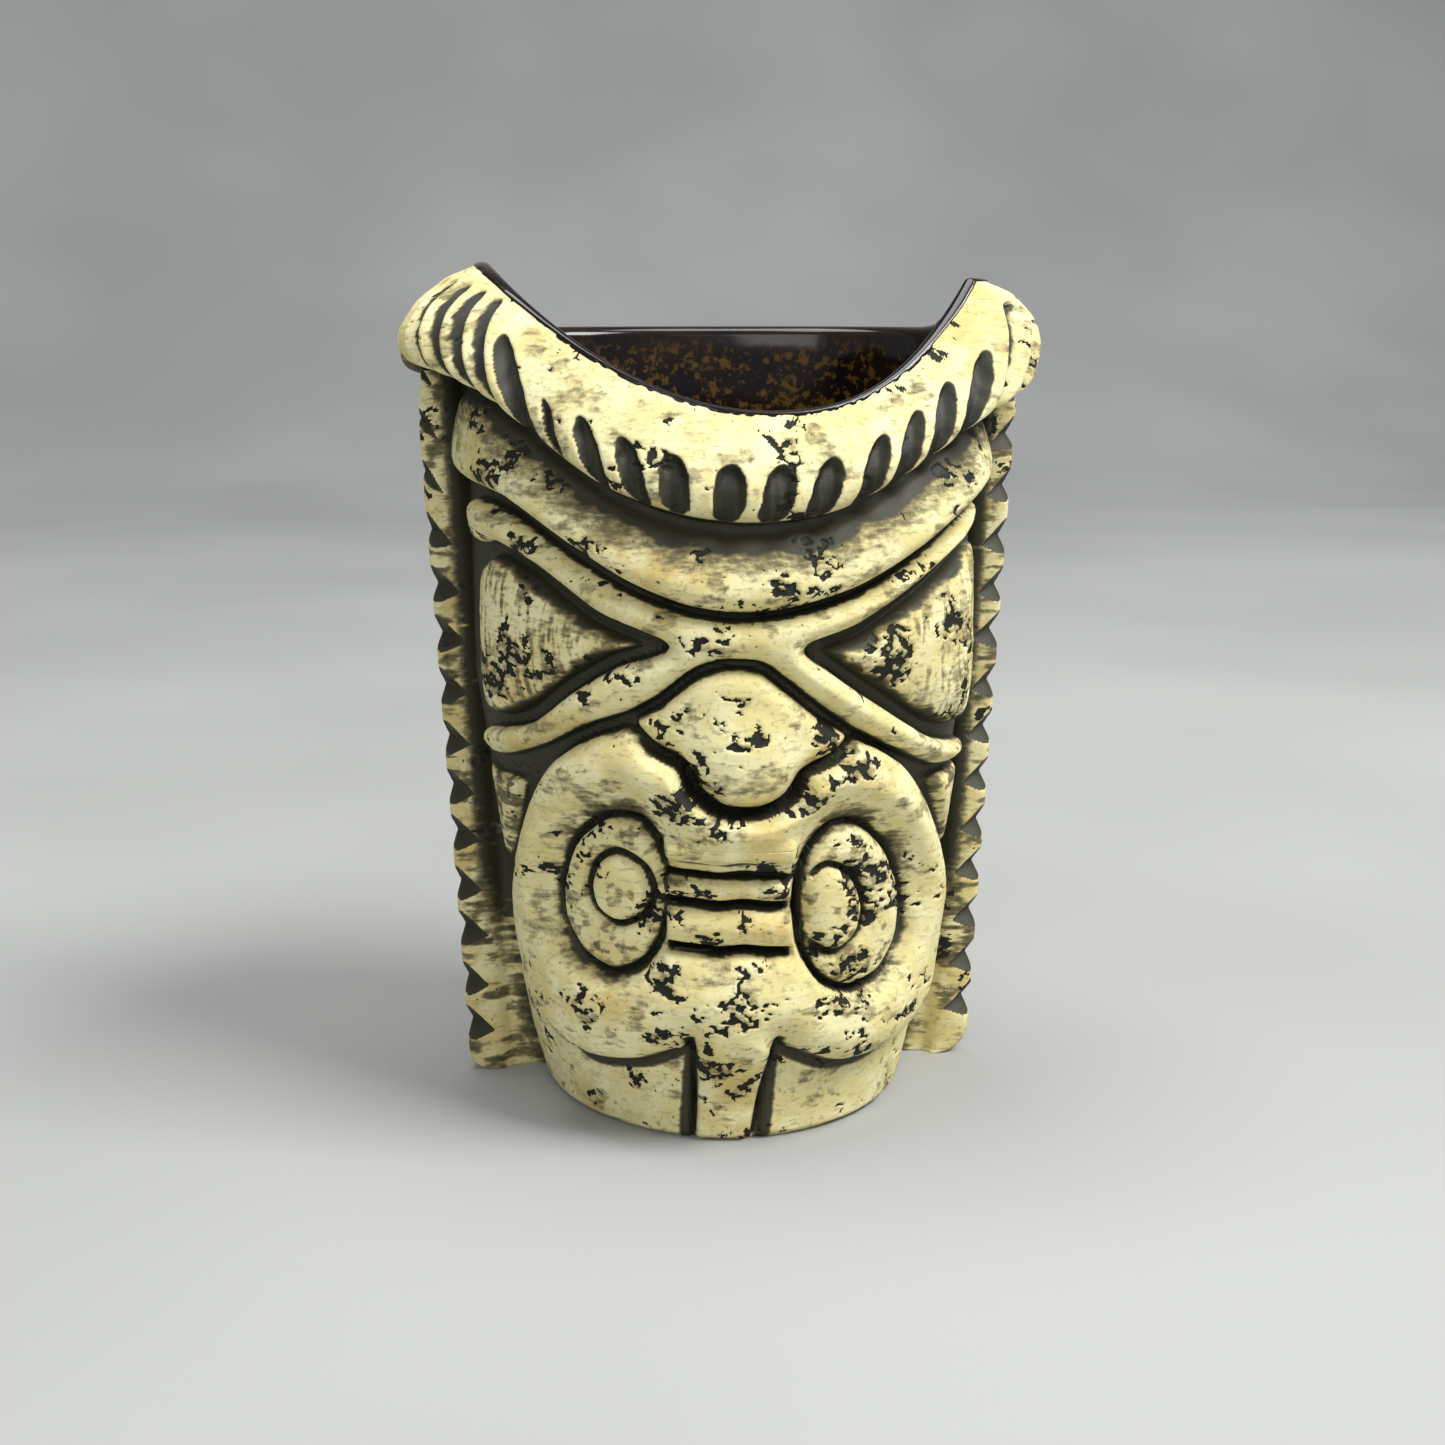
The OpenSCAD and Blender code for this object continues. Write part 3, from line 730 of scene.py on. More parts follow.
        muzzle = muzzle * (1 - over_nose) + (1.0 * over_nose) * ease(0.0, 2.0, self.snout)
        muzzle = np.where(d[Member.NOSE] > 0, 0.0, muzzle)
        cheeks = sum(2.4 * dome(d[m] - 0.4, 2.6) for m in (Member.LEFT_CHEEK, Member.RIGHT_CHEEK))
        chin = 1.3 * ease(-1.0, 0.5, np.maximum(d[Member.LEFT_CHIN], d[Member.RIGHT_CHIN]))
        turned = np.degrees(np.abs(self.outline.turn))[None, :]
        slim = 1.0 - (0.45 + 0.45 * ease(122.0, 104.0, z)) * ease(54.0, 84.0, turned)
        height = np.maximum.reduce([forehead * slim, band * slim, nose, muzzle, cheeks * slim, chin,
                                    eyes * slim + 0.2])
        crown = self._crown_height()
        crown_part = d[Member.CROWN] > -1.6
        height = np.where(crown_part, np.maximum(crown, height * (d[Member.CROWN] < 0)), height)
        height = np.where(d[Member.CROWN] > 1.0, crown, height)
        cuts = (self.left_cut, self.right_cut)
        for cut in cuts:
            line = np.exp(-((x - cut) / 0.6) ** 2) * ease(20.6, 19.2, z) * ease(0.2, 1.6, z)
            height -= 1.9 * line
        dark_ends = ease(20.8, 19.6, z) * ease(0.6, 1.8, z)
        self.layers["cut_dark"] = np.maximum.reduce([
            np.exp(-((x - cut) / (0.5 + 0.2 * ease(6.0, 20.0, z))) ** 4) * dark_ends for cut in cuts])
        crown_cut, crown_dark = self._crown_cuts()
        height -= crown_cut
        height -= 1.6 * ease(1.6, 0.0, z) ** 2
        wobble = 0.5 * (rough_noise(s / 13.0, z / 11.0, 3, 2) - 0.5)
        wobble += 0.16 * (rough_noise(s / 3.6, z / 3.2, 7, 2) - 0.5)
        height = height - 1.2 * ease(1.0, 0.1, height) * (z > 22.0) * (d[Member.CROWN] < 0)
        height = blurred(height, 0.9) + wobble * ease(0.2, 1.5, height)
        self._finish(height, crown_dark)
        return height - 0.46 * self.layers["pits"] * ease(-1.5, 0.6, height) \
            + 0.10 * (rough_noise(s / 5.0, z / 0.7, 91, 2) - 0.5)

    def _side_room(self) -> Array:
        """How far each place lies from the side of the face, along the surface."""
        past = np.abs(self.outline.turn)[None, :] * MEAN_R + self.outline.behind[None, :]
        return np.broadcast_to(MEAN_R * 1.52 - past, self.z.shape)

    def _finish(self, height: Array, slot_dark: Array) -> None:
        """Works out where the charcoal wash and the painted shade, the pits and the ochre lie, from the
        carved form.
        """
        s, z, d = self.s, self.z, self.depths
        cells = 1.0 / self.cell
        # Darker in low places and round grooves, finely and broadly: charcoal wash and painted shade
        # together.
        broad = blurred(height, 2.3 * cells) - height
        fine = blurred(height, 0.7 * cells) - height
        smear = rough_noise(s / 3.2, z / 1.0, 21, 3) - 0.5
        patch = rough_noise(s / 4.0, z / 4.0, 29, 3) - 0.5
        wash_and_shade = 0.95 * ease(0.05, 1.5, broad + 0.75 * smear + 0.8 * patch)
        wash_and_shade = np.maximum(wash_and_shade, ease(0.08, 0.36, fine))
        wide = blurred(height, 5.5 * cells) - height
        wash_and_shade = np.maximum(wash_and_shade, 0.44 * ease(0.1, 2.3, wide + 1.8 * patch + 1.4 * smear))
        # Painted shade with stain under the crown's overhanging lower edge, fading down the forehead.
        below = self.crown_z - z
        under_crown = ease(7.4, 3.4, below + 3.4 * patch + 2.4 * smear) * ease(-0.8, 0.2, below)
        brow_stain_and_shade = 0.44 * ease(13.0, 6.0, self.crown_z - z + 6.0 * patch + 4.0 * smear) * (z < self.crown_z)
        wash_and_shade = np.maximum(wash_and_shade, np.maximum(under_crown, brow_stain_and_shade))
        for eye in (Member.LEFT_EYE, Member.RIGHT_EYE):
            rim_band = ease(3.8, 0.7, d[eye] + 2.6 * patch + 1.6 * smear) * ease(-0.6, 0.4, d[eye])
            streaks = rough_noise(s / 0.9, z / 6.0, 45, 3)
            dim = 0.44 if eye is Member.LEFT_EYE else 0.36
            streaked = ease(0.40, 0.62, 0.6 * streaks + 0.4 * (patch + 0.5))
            rim_band = np.maximum(rim_band, dim * (d[eye] > 0) * streaked)
            wash_and_shade = np.maximum(wash_and_shade, rim_band)
        ground = ease(0.6, -0.4, height) * (d[Member.CROWN] < 0) * (z > 22)
        wash_and_shade = np.maximum(wash_and_shade, 0.85 * ground)
        wash_and_shade = np.maximum(wash_and_shade, slot_dark)
        wash_and_shade = np.maximum(wash_and_shade, self.layers["cut_dark"])
        sides = ease(7.0, 1.0, self._side_room()) * ease(150.0, 135.0, z)
        wash_and_shade = np.maximum(wash_and_shade, 0.9 * sides * (z > 22.0) * ease(0.0, 0.6, 0.75 + patch))
        sooty = 0.36 * ease(0.48, 0.70, rough_noise(s / 4.2, z / 3.0, 37, 5))
        for ring in (Member.LEFT_RING, Member.RIGHT_RING):
            mottle = 0.40 * ease(0.42, 0.68, rough_noise(s / 1.8, z / 1.8, 39, 3))
            sooty = np.where(d[ring] > 0, mottle, sooty)
            # Painted shade in the dish above each ring, weaker on the bridge between them.
            near = ease(-6.5, -0.8, d[ring]) * ease(44.0, 54.0, z) * (d[ring] < 0.2)
            shade = 0.62 * near * (1.0 - 0.85 * self.bridge)
            wash_and_shade = np.maximum(wash_and_shade, shade * ease(0.05, 0.5, 0.5 + patch + 0.6 * smear))
        for cheek in (Member.LEFT_CHEEK, Member.RIGHT_CHEEK):
            sooty = np.maximum(sooty, 0.5 * ease(-1.0, 1.0, d[cheek]) * ease(0.3, 0.6, 0.5 + patch + smear))
        on_chin = ease(0.45, 1.1, np.maximum(d[Member.LEFT_CHIN], d[Member.RIGHT_CHIN]))
        wash_and_shade = wash_and_shade * (1.0 - 0.8 * on_chin)
        lobes = ease(2.4, 0.3, self.snout) * ease(-2.4, -0.6, self.snout) * ease(20.0, 18.0, z)
        wash_and_shade = np.maximum(wash_and_shade, lobes * ease(37.0, 30.0, np.abs(s)))
        wash_and_shade = np.clip(np.maximum(wash_and_shade, sooty) + 0.22 * smear * ease(0.05, 0.4, wash_and_shade), 0.0, 1.0)
        scrape = ease(0.2, 0.6, rough_noise(s / 0.8, z / 6.0, 55, 2))
        # Near black in fine creases and the crown's slots: charcoal wash with painted shade, deepened in the
        # slots.
        crease = np.maximum(ease(0.30, 0.75, fine), 0.88 * slot_dark * scrape)
        crease = np.maximum(crease, 0.9 * self.layers["cut_dark"])
        dense = np.full(s.shape, 0.5)
        dense = np.where(d[Member.CROWN] > 0, 0.22, dense)
        for ring in (Member.LEFT_RING, Member.RIGHT_RING):
            dense = np.where(d[ring] > 0.8, 1.0, dense)
        dense = np.where(z < 30, 0.62, dense)
        proud = height + 0.6 * (z < 20) + 8.0 * (d[Member.CROWN] > 0)
        pits = worm_pits(s, z, 101, dense) * ease(0.3, 1.2, proud)
        haze = blurred(pits, 1.3 * cells)
        wash_and_shade = np.maximum(wash_and_shade, 0.36 * ease(0.10, 0.55, haze + 0.3 * smear))
        from_rim = np.where(d[Member.CROWN] > 0, ease(0.4, 3.0, self.rim - z), 1.0)
        wash_and_shade, crease = wash_and_shade * from_rim, crease * from_rim
        self.layers.update({
            "wash_and_shade": wash_and_shade, "crease": np.maximum(crease, 0.0), "pits": pits,
            "ochre": ease(0.45, 0.8, rough_noise(s / 16.0, z / 14.0, 41, 3)),
        })

    # ---- meshes

    def build(self, member: Member, name: str) -> bpy.types.Object:
        """Makes one member as a closed slab: its carved front, a plain back and its sides.

        Args:
            member: Which member.
            name: Name of the object.

        Returns:
            The new object.
        """
        mine = self.member == member.value
        k, columns = self.block, self.outline.fine
        cells = np.repeat(np.repeat(mine, k, 0), k, 1)
        r, c = np.nonzero(cells)
        first = r * columns + c
        top = np.stack([first, first + 1, first + columns + 1, first + columns], -1)
        br, bc = np.nonzero(mine)
        shift = self.z.size

        def corner(row: Array, column: Array) -> Array:
            return shift + row * k * columns + column * k

        back = np.stack([corner(br, bc), corner(br + 1, bc), corner(br + 1, bc + 1), corner(br, bc + 1)], -1)
        walls: List[Array] = []
        steps = np.arange(k + 1)
        padded = np.pad(mine, 1)
        for dr, dc in ((-1, 0), (1, 0), (0, 1), (0, -1)):
            open_side = ~padded[br + 1 + dr, bc + 1 + dc]
            rr, cc = br[open_side, None], bc[open_side, None]
            if dr:
                row = rr * k + (k if dr > 0 else 0)
                run = cc * k + (steps if dr > 0 else steps[::-1])[None, :]
                line = row * columns + run
                a, b = corner(rr + (dr > 0), cc + (dr > 0)), corner(rr + (dr > 0), cc + (dr < 0))
            else:
                column = cc * k + (k if dc > 0 else 0)
                run = rr * k + (steps[::-1] if dc > 0 else steps)[None, :]
                line = run * columns + column
                a, b = corner(rr + (dc < 0), cc + (dc > 0)), corner(rr + (dc > 0), cc + (dc > 0))
            walls.append(np.hstack([line, a, b]))
        wall = np.vstack(walls)
        px, py = self.outline.front(self.z, self.height)
        bx, by = self.outline.front(self.z, np.full_like(self.z, -4.8))
        points = np.vstack([np.stack([px, py, self.z], -1).reshape(-1, 3),
                            np.stack([bx, by, self.z], -1).reshape(-1, 3)])
        used = np.unique(np.concatenate([top.ravel(), back.ravel(), wall.ravel()]))
        index = np.full(len(points), -1)
        index[used] = np.arange(len(used))
        layers = {key: np.concatenate([v.ravel(), v.ravel()])[used] for key, v in self.layers.items()
                  if key != "cut_dark"}
        groups = [(index[top], True), (index[back], False), (index[wall], False)]
        return new_mesh(name, points[used], groups, layers)


# ---------------------------------------------------------------- the cup


@dataclass
class CupShell:
    """The plain wall, floor and rim of the cup behind the carving."""

    form: MugForm
    outline: CupOutline
    rows: int = 150
    rim_steps: int = 8
    inner_rows: int = 26

    def _rim_path(self, outer: Array, rise: Array) -> Tuple[Array, Array]:
        """The rounded top of the wall, from outside to inside.

        Args:
            outer: Inset of the wall's outer edge at each column.
            rise: Height of the rounding at each column.

        Returns:
            Insets and heights over the rim, one row for each step.
        """
        phi = np.linspace(0.0, math.pi, self.rim_steps + 1)[:, None]
        middle, radius = (outer + self.form.wall) / 2, (self.form.wall - outer) / 2
        return middle[None, :] - radius[None, :] * np.cos(phi), rise[None, :] * (np.sin(phi) - 1.0)

    def build(self, patch: bpy.types.Object) -> bpy.types.Object:
        """Makes the wall as one closed body and joins the carved ground to it.

        Args:
            patch: The carved ground between the members.

        Returns:
            The cup's body.
        """
        f, o = self.form, self.outline
        rim = o.rim()
        keep = np.concatenate([np.arange(0, o.fine, 4), np.arange(o.fine, len(rim))])
        lip = o.lip_inset()
        front = o.front_share()
        inset = np.maximum(lip, 4.2 * front) + 0.4 * front
        rise = o.rim_round()
        wall_top = rim - rise
        share = np.concatenate([[0.0, 0.004, 0.012], np.linspace(0.02, 1.0, self.rows)])[:, None]
        z = share * wall_top[None, :]
        out = -np.broadcast_to(inset[None, :], z.shape).copy()
        out[0] -= 1.6
        out[1] -= 0.6
        arc_s = np.concatenate([np.full(o.fine, 0.0), (o.back_turn - math.pi / 2) * 46.0])[None, :]
        s = np.broadcast_to(arc_s, z.shape)
        back = (1 - front)[None, :]
        dense = np.full(z.shape, 0.42)
        pits = worm_pits(s, z, 211, dense) * back
        bumps = 0.5 * (rough_noise(s / 12.0, z / 12.0, 13, 3) - 0.5)
        bumps += 0.12 * (rough_noise(s / 5.0, z / 1.4, 17, 2) - 0.5)
        out += (bumps - 0.3 * pits) * back * ease(0.0, 6.0, z)
        smear = rough_noise(s / 9.0, z / 1.3, 23, 3)
        wash_and_shade = back * (0.75 * ease(0.50, 0.78, rough_noise(s / 14.0, z / 12.0, 43, 3) * 0.7 + smear * 0.3)
                       + 0.5 * ease(9.0, 0.0, z) * smear)
        rim_inset, rim_drop = self._rim_path(np.where(front > 0.5, 4.5, lip), rise)
        rim_z = rim[None, :] + rim_drop
        inner = np.linspace(1.0, 0.0, self.inner_rows)[1:, None]
        inner_z = f.floor_t + (rim_z[-1][None, :] - f.floor_t) * inner
        all_z = np.vstack([z, rim_z, inner_z])
        all_out = np.vstack([out, -rim_inset, np.full(inner_z.shape, -f.wall)])
        px, py = o.loop(all_z, all_out)
        points = np.stack([px, py, all_z], -1)[:, keep].reshape(-1, 3)
        rows, columns = all_z.shape[0], len(keep)
        middle = np.array([[0.0, f.corner_y - 3.0, 0.0], [0.0, f.corner_y - 3.0, f.floor_t]])
        points = np.vstack([points, middle])
        last = (rows - 1) * columns
        count = rows * columns
        faces = [(ring_faces(rows, columns), True), (cap_faces(columns, 0, count, flip=True), False),
                 (cap_faces(columns, last, count + 1), False)]
        pad = np.zeros((len(all_z) - len(z), z.shape[1]))

        def layer(values: Array) -> Array:
            full = np.vstack([values, pad])[:, keep].ravel()
            return np.concatenate([full, [0.0, 0.0]])

        ochre = ease(0.45, 0.8, rough_noise(s / 16.0, z / 14.0, 47, 3))
        layers = {"wash_and_shade": layer(np.clip(wash_and_shade, 0, 1)), "crease": layer(np.zeros_like(wash_and_shade)),
                  "pits": layer(pits), "ochre": layer(ochre)}
        shell = new_mesh("cup_body_clay", points, faces, layers)
        return joined(shell, patch)


@dataclass
class InnerGlaze:
    """The fused dark glaze: the inside of the cup and a ragged coat over the edge of the rim."""

    form: MugForm
    outline: CupOutline
    face: CarvedFace
    outer_rows: int = 14
    rim_steps: int = 8
    inner_rows: int = 30
    coat: float = 0.5

    def build(self) -> bpy.types.Object:
        """Makes the coat as one closed skin."""
        f, o = self.form, self.outline
        rim = o.rim()
        front = o.front_share()
        rise = o.rim_round()
        s = np.concatenate([o.turn * MEAN_R + o.side * o.behind, 90.0 + np.arange(len(o.back_turn)) * 0.8])
        ragged = rough_noise(s / 6.0, np.zeros_like(s), 81, 2)
        crumbs = rough_noise(s / 1.1, np.zeros_like(s), 83, 2)
        reach = 0.35 + 0.8 * ease(0.4, 0.75, ragged) * crumbs + 0.35 * crumbs
        reach *= 1 - 0.8 * ease(30.0, 58.0, np.abs(s)) * ease(100.0, 84.0, np.abs(s))
        reach += 1.2 * (1 - front)
        rows = self.outer_rows
        depth = np.linspace(5.2, 0.0, rows)[:, None]
        z = (rim - rise)[None, :] - depth
        top = self.face.height
        grid_z = self.face.z
        out = np.zeros_like(z)
        for column in range(o.fine):
            out[:, column] = np.interp(z[:, column], grid_z[:, column], top[:, column])
        hide = ease(-0.25, 0.25, depth - reach[None, :])
        out = out + 0.11 - 1.3 * hide
        lip = -out[-1]
        phi = np.linspace(0.0, math.pi, self.rim_steps + 1)[1:, None]
        inner_inset = f.wall + self.coat
        middle, radius = (lip + inner_inset) / 2, (inner_inset - lip) / 2
        rim_out = -(middle[None, :] - radius[None, :] * np.cos(phi))
        rim_z = rim[None, :] + 0.12 + (rise[None, :] + 0.12) * (np.sin(phi) - 1.0)
        inner = np.linspace(1.0, 0.0, self.inner_rows)[1:, None]
        floor = f.floor_t + self.coat
        inner_z = floor + (rim_z[-1][None, :] - floor) * inner
        sag = ease(9.0, 0.0, inner_z - floor) * 5.0
        all_z = np.vstack([z, rim_z, inner_z])
        all_out = np.vstack([out, rim_out, -inner_inset - sag])
        px, py = o.loop(all_z, all_out)
        skin = np.stack([px, py, all_z], -1).reshape(-1, 3)
        under_out = np.vstack([out - 1.0, rim_out * 0.6 - 1.4, np.full(inner_z.shape, -inner_inset + 1.2)])
        under_z = np.vstack([z, rim[None, :] - 0.9 + (rise[None, :] * 0.6) * (np.sin(phi) - 1.0), inner_z])
        under_z[-1] = floor - 1.5
        ux, uy = o.loop(under_z, under_out)
        under = np.stack([ux, uy, under_z], -1).reshape(-1, 3)
        rows_all, columns = all_z.shape
        count = rows_all * columns
        middle_points = np.array([[0.0, f.corner_y - 3.0, floor], [0.0, f.corner_y - 3.0, floor - 1.5]])
        points = np.vstack([skin, under, middle_points])
        c = np.arange(columns)
        d = (c + 1) % columns
        edge = np.stack([count + c, count + d, d, c], -1)
        faces = [(ring_faces(rows_all, columns), True),
                 (cap_faces(columns, (rows_all - 1) * columns, 2 * count), True),
                 (ring_faces(rows_all, columns, first=count, flip=True), False),
                 (cap_faces(columns, count + (rows_all - 1) * columns, 2 * count + 1, flip=True), False),
                 (edge, False)]
        outside = np.vstack([np.ones_like(z), np.full(rim_z.shape, 1.0), np.zeros_like(inner_z)]).ravel()
        outside = np.concatenate([outside, outside, [0.0, 0.0]])
        return new_mesh("interior_glaze_coat", points, faces, {"edge_coat": outside})


def joined(first: bpy.types.Object, second: bpy.types.Object) -> bpy.types.Object:
    """Joins the second object's mesh into the first one."""
    bpy.ops.object.select_all(action="DESELECT")
    for piece in (first, second):
        piece.select_set(True)
    bpy.context.view_layer.objects.active = first
    bpy.ops.object.join()
    return first


# ---------------------------------------------------------------- node trees


class Wiring:
    """Short ways to add and link nodes in a tree."""

    def __init__(self, tree: bpy.types.NodeTree) -> None:
        """Keeps the tree."""
        self.tree = tree

    def node(self, kind: str, **settings: object) -> bpy.types.Node:
        """Adds a node and sets its properties."""
        node = self.tree.nodes.new(kind)
        for key, value in settings.items():
            setattr(node, key, value)
        return node

    def feed(self, socket: bpy.types.NodeSocket, value: object) -> None:
        """Links a socket to an output, or sets its value."""
        if isinstance(value, bpy.types.NodeSocket):
            self.tree.links.new(value, socket)
        else:
            socket.default_value = value

    def math(self, kind: str, a: object, b: object = 0.0, c: object = 0.0,
             clamp: bool = False) -> bpy.types.NodeSocket:
        """Adds one sum and gives its result."""
        node = self.node("ShaderNodeMath", operation=kind, use_clamp=clamp)
        for socket, value in zip(node.inputs, (a, b, c)):
            self.feed(socket, value)
        return node.outputs[0]

    def rise(self, value: object, low: float, high: float) -> bpy.types.NodeSocket:
        """A smooth rise from 0 at low to 1 at high."""
        node = self.node("ShaderNodeMapRange", interpolation_type="SMOOTHSTEP")
        for key, v in (("Value", value), ("From Min", low), ("From Max", high)):
            self.feed(node.inputs[key], v)
        return node.outputs["Result"]

    def mix(self, share: object, a: object, b: object) -> bpy.types.NodeSocket:
        """Mixes two colours."""
        node = self.node("ShaderNodeMix", data_type="RGBA")
        self.feed(node.inputs["Factor"], share)
        for socket, value in ((node.inputs[6], a), (node.inputs[7], b)):
            self.feed(socket, value)
        return node.outputs[2]


Colour = Tuple[float, float, float, float]


@dataclass(frozen=True)
class ClayFinish:
    """Matt fired clay with a charcoal wash that stays in its recesses, and painted shade in its recesses and
    under its overhangs.
    """

    cream: Colour = (0.70, 0.61, 0.27, 1.0)
    pale: Colour = (0.80, 0.74, 0.42, 1.0)
    ochre: Colour = (0.60, 0.43, 0.13, 1.0)
    stain: Colour = (0.21, 0.175, 0.080, 1.0)
    charcoal: Colour = (0.036, 0.034, 0.017, 1.0)
    pit_black: Colour = (0.014, 0.013, 0.008, 1.0)

    def build(self, name: str) -> bpy.types.Material:
        """Makes the material from the piece's own layers and fine noise.

        Args:
            name: Name of the material.

        Returns:
            The material.
        """
        material = bpy.data.materials.new(name)
        material.use_nodes = True
        w = Wiring(material.node_tree)
        shader = material.node_tree.nodes["Principled BSDF"]
        place = w.node("ShaderNodeTexCoord").outputs["Object"]
        layer = {key: w.node("ShaderNodeAttribute", attribute_name=key).outputs["Fac"]
                 for key in ("wash_and_shade", "crease", "pits", "ochre")}
        stretch = w.node("ShaderNodeMapping")
        stretch.inputs["Scale"].default_value = (1.0, 1.0, 3.6)
        w.feed(stretch.inputs["Vector"], place)
        brush = self._noise(w, stretch.outputs[0], 360.0, 4.0)
        grain = self._noise(w, place, 1900.0, 3.0)
        crumbs = self._noise(w, place, 950.0, 4.0)
        mottle = self._noise(w, place, 130.0, 4.0)
        tone = w.mix(w.rise(mottle, 0.35, 0.68), self.cream, self.pale)
        warm = w.math("MULTIPLY", layer["ochre"], w.rise(mottle, 0.62, 0.38))
        tone = w.mix(w.math("MULTIPLY", warm, 0.62), tone, self.ochre)
        speck = w.math("MULTIPLY", w.rise(crumbs, 0.57, 0.70), 0.45)
        streak = w.math("MULTIPLY", w.rise(brush, 0.53, 0.72), 0.46)
        tone = w.mix(w.math("MAXIMUM", speck, streak), tone, self.stain)
        # The wash layer darkens the clay to stain and then charcoal: the charcoal wash and the painted shade
        # together.
        broken = w.math("ADD", layer["wash_and_shade"], w.math("MULTIPLY", w.math("SUBTRACT", brush, 0.5), 0.55))
        broken = w.math("ADD", broken, w.math("MULTIPLY", w.math("SUBTRACT", crumbs, 0.5), 0.35))
        tone = w.mix(w.rise(broken, 0.16, 0.50), tone, self.stain)
        tone = w.mix(w.rise(broken, 0.36, 0.74), tone, self.charcoal)
        ragged = w.math("ADD", layer["pits"], w.math("MULTIPLY", w.math("SUBTRACT", crumbs, 0.5), 0.7))
        pit = w.rise(ragged, 0.42, 0.66)
        # Near black for the pits, and for the creases and slots, where wash and painted shade lie.
        black = w.math("MAXIMUM", pit, layer["crease"])
        tone = w.mix(black, tone, self.pit_black)
        w.feed(shader.inputs["Base Color"], tone)
        rough = w.math("SUBTRACT", 0.80, w.math("MULTIPLY", w.rise(broken, 0.4, 0.8), 0.22))
        w.feed(shader.inputs["Roughness"], rough)
        shader.inputs["Specular IOR Level"].default_value = 0.35
        height = w.math("ADD", w.math("MULTIPLY", grain, 0.35), w.math("MULTIPLY", brush, 0.45))
        height = w.math("SUBTRACT", height, w.math("MULTIPLY", pit, 0.9))
        bump = w.node("ShaderNodeBump")
        bump.inputs["Strength"].default_value = 0.45
        bump.inputs["Distance"].default_value = 0.00025
        w.feed(bump.inputs["Height"], height)
        w.feed(shader.inputs["Normal"], bump.outputs["Normal"])
        return material

    @staticmethod
    def _noise(w: Wiring, place: bpy.types.NodeSocket, scale: float, detail: float) -> bpy.types.NodeSocket:
        """A noise on the piece's own coordinates."""
        node = w.node("ShaderNodeTexNoise")
        node.inputs["Scale"].default_value = scale
        node.inputs["Detail"].default_value = detail
        node.inputs["Roughness"].default_value = 0.6
        w.feed(node.inputs["Vector"], place)
        return node.outputs["Fac"]


@dataclass(frozen=True)
class GlazeFinish:
    """Glossy black-brown glaze with amber mottling on the inside."""

    black: Colour = (0.006, 0.004, 0.004, 1.0)
    brown: Colour = (0.016, 0.008, 0.003, 1.0)
    amber: Colour = (0.115, 0.062, 0.010, 1.0)

    def build(self, name: str) -> bpy.types.Material:
        """Makes the material.

        Args:
            name: Name of the material.

        Returns:
            The material.
        """
        material = bpy.data.materials.new(name)
        material.use_nodes = True
        w = Wiring(material.node_tree)
        shader = material.node_tree.nodes["Principled BSDF"]
        place = w.node("ShaderNodeTexCoord").outputs["Object"]
        coat = w.node("ShaderNodeAttribute", attribute_name="edge_coat").outputs["Fac"]
        flakes = ClayFinish._noise(w, place, 620.0, 5.0)
        clouds = ClayFinish._noise(w, place, 75.0, 3.0)
        tone = w.mix(w.rise(clouds, 0.35, 0.7), self.black, self.brown)
        gold = w.math("ADD", flakes, w.math("MULTIPLY", clouds, 0.35))
        gold = w.math("MULTIPLY", w.rise(gold, 0.68, 0.80), 0.85)
        gold = w.math("MULTIPLY", gold, w.math("SUBTRACT", 1.0, coat))
        w.feed(shader.inputs["Base Color"], w.mix(gold, tone, self.amber))
        w.feed(shader.inputs["Roughness"], w.math("ADD", 0.10, w.math("MULTIPLY", flakes, 0.10)))
        shader.inputs["Specular IOR Level"].default_value = 0.3
        shader.inputs["Coat Weight"].default_value = 0.12
        shader.inputs["Coat Roughness"].default_value = 0.06
        bump = w.node("ShaderNodeBump")
        bump.inputs["Strength"].default_value = 0.15
        bump.inputs["Distance"].default_value = 0.0004
        w.feed(bump.inputs["Height"], clouds)
        w.feed(shader.inputs["Normal"], bump.outputs["Normal"])
        return material


# ---------------------------------------------------------------- toothed corners


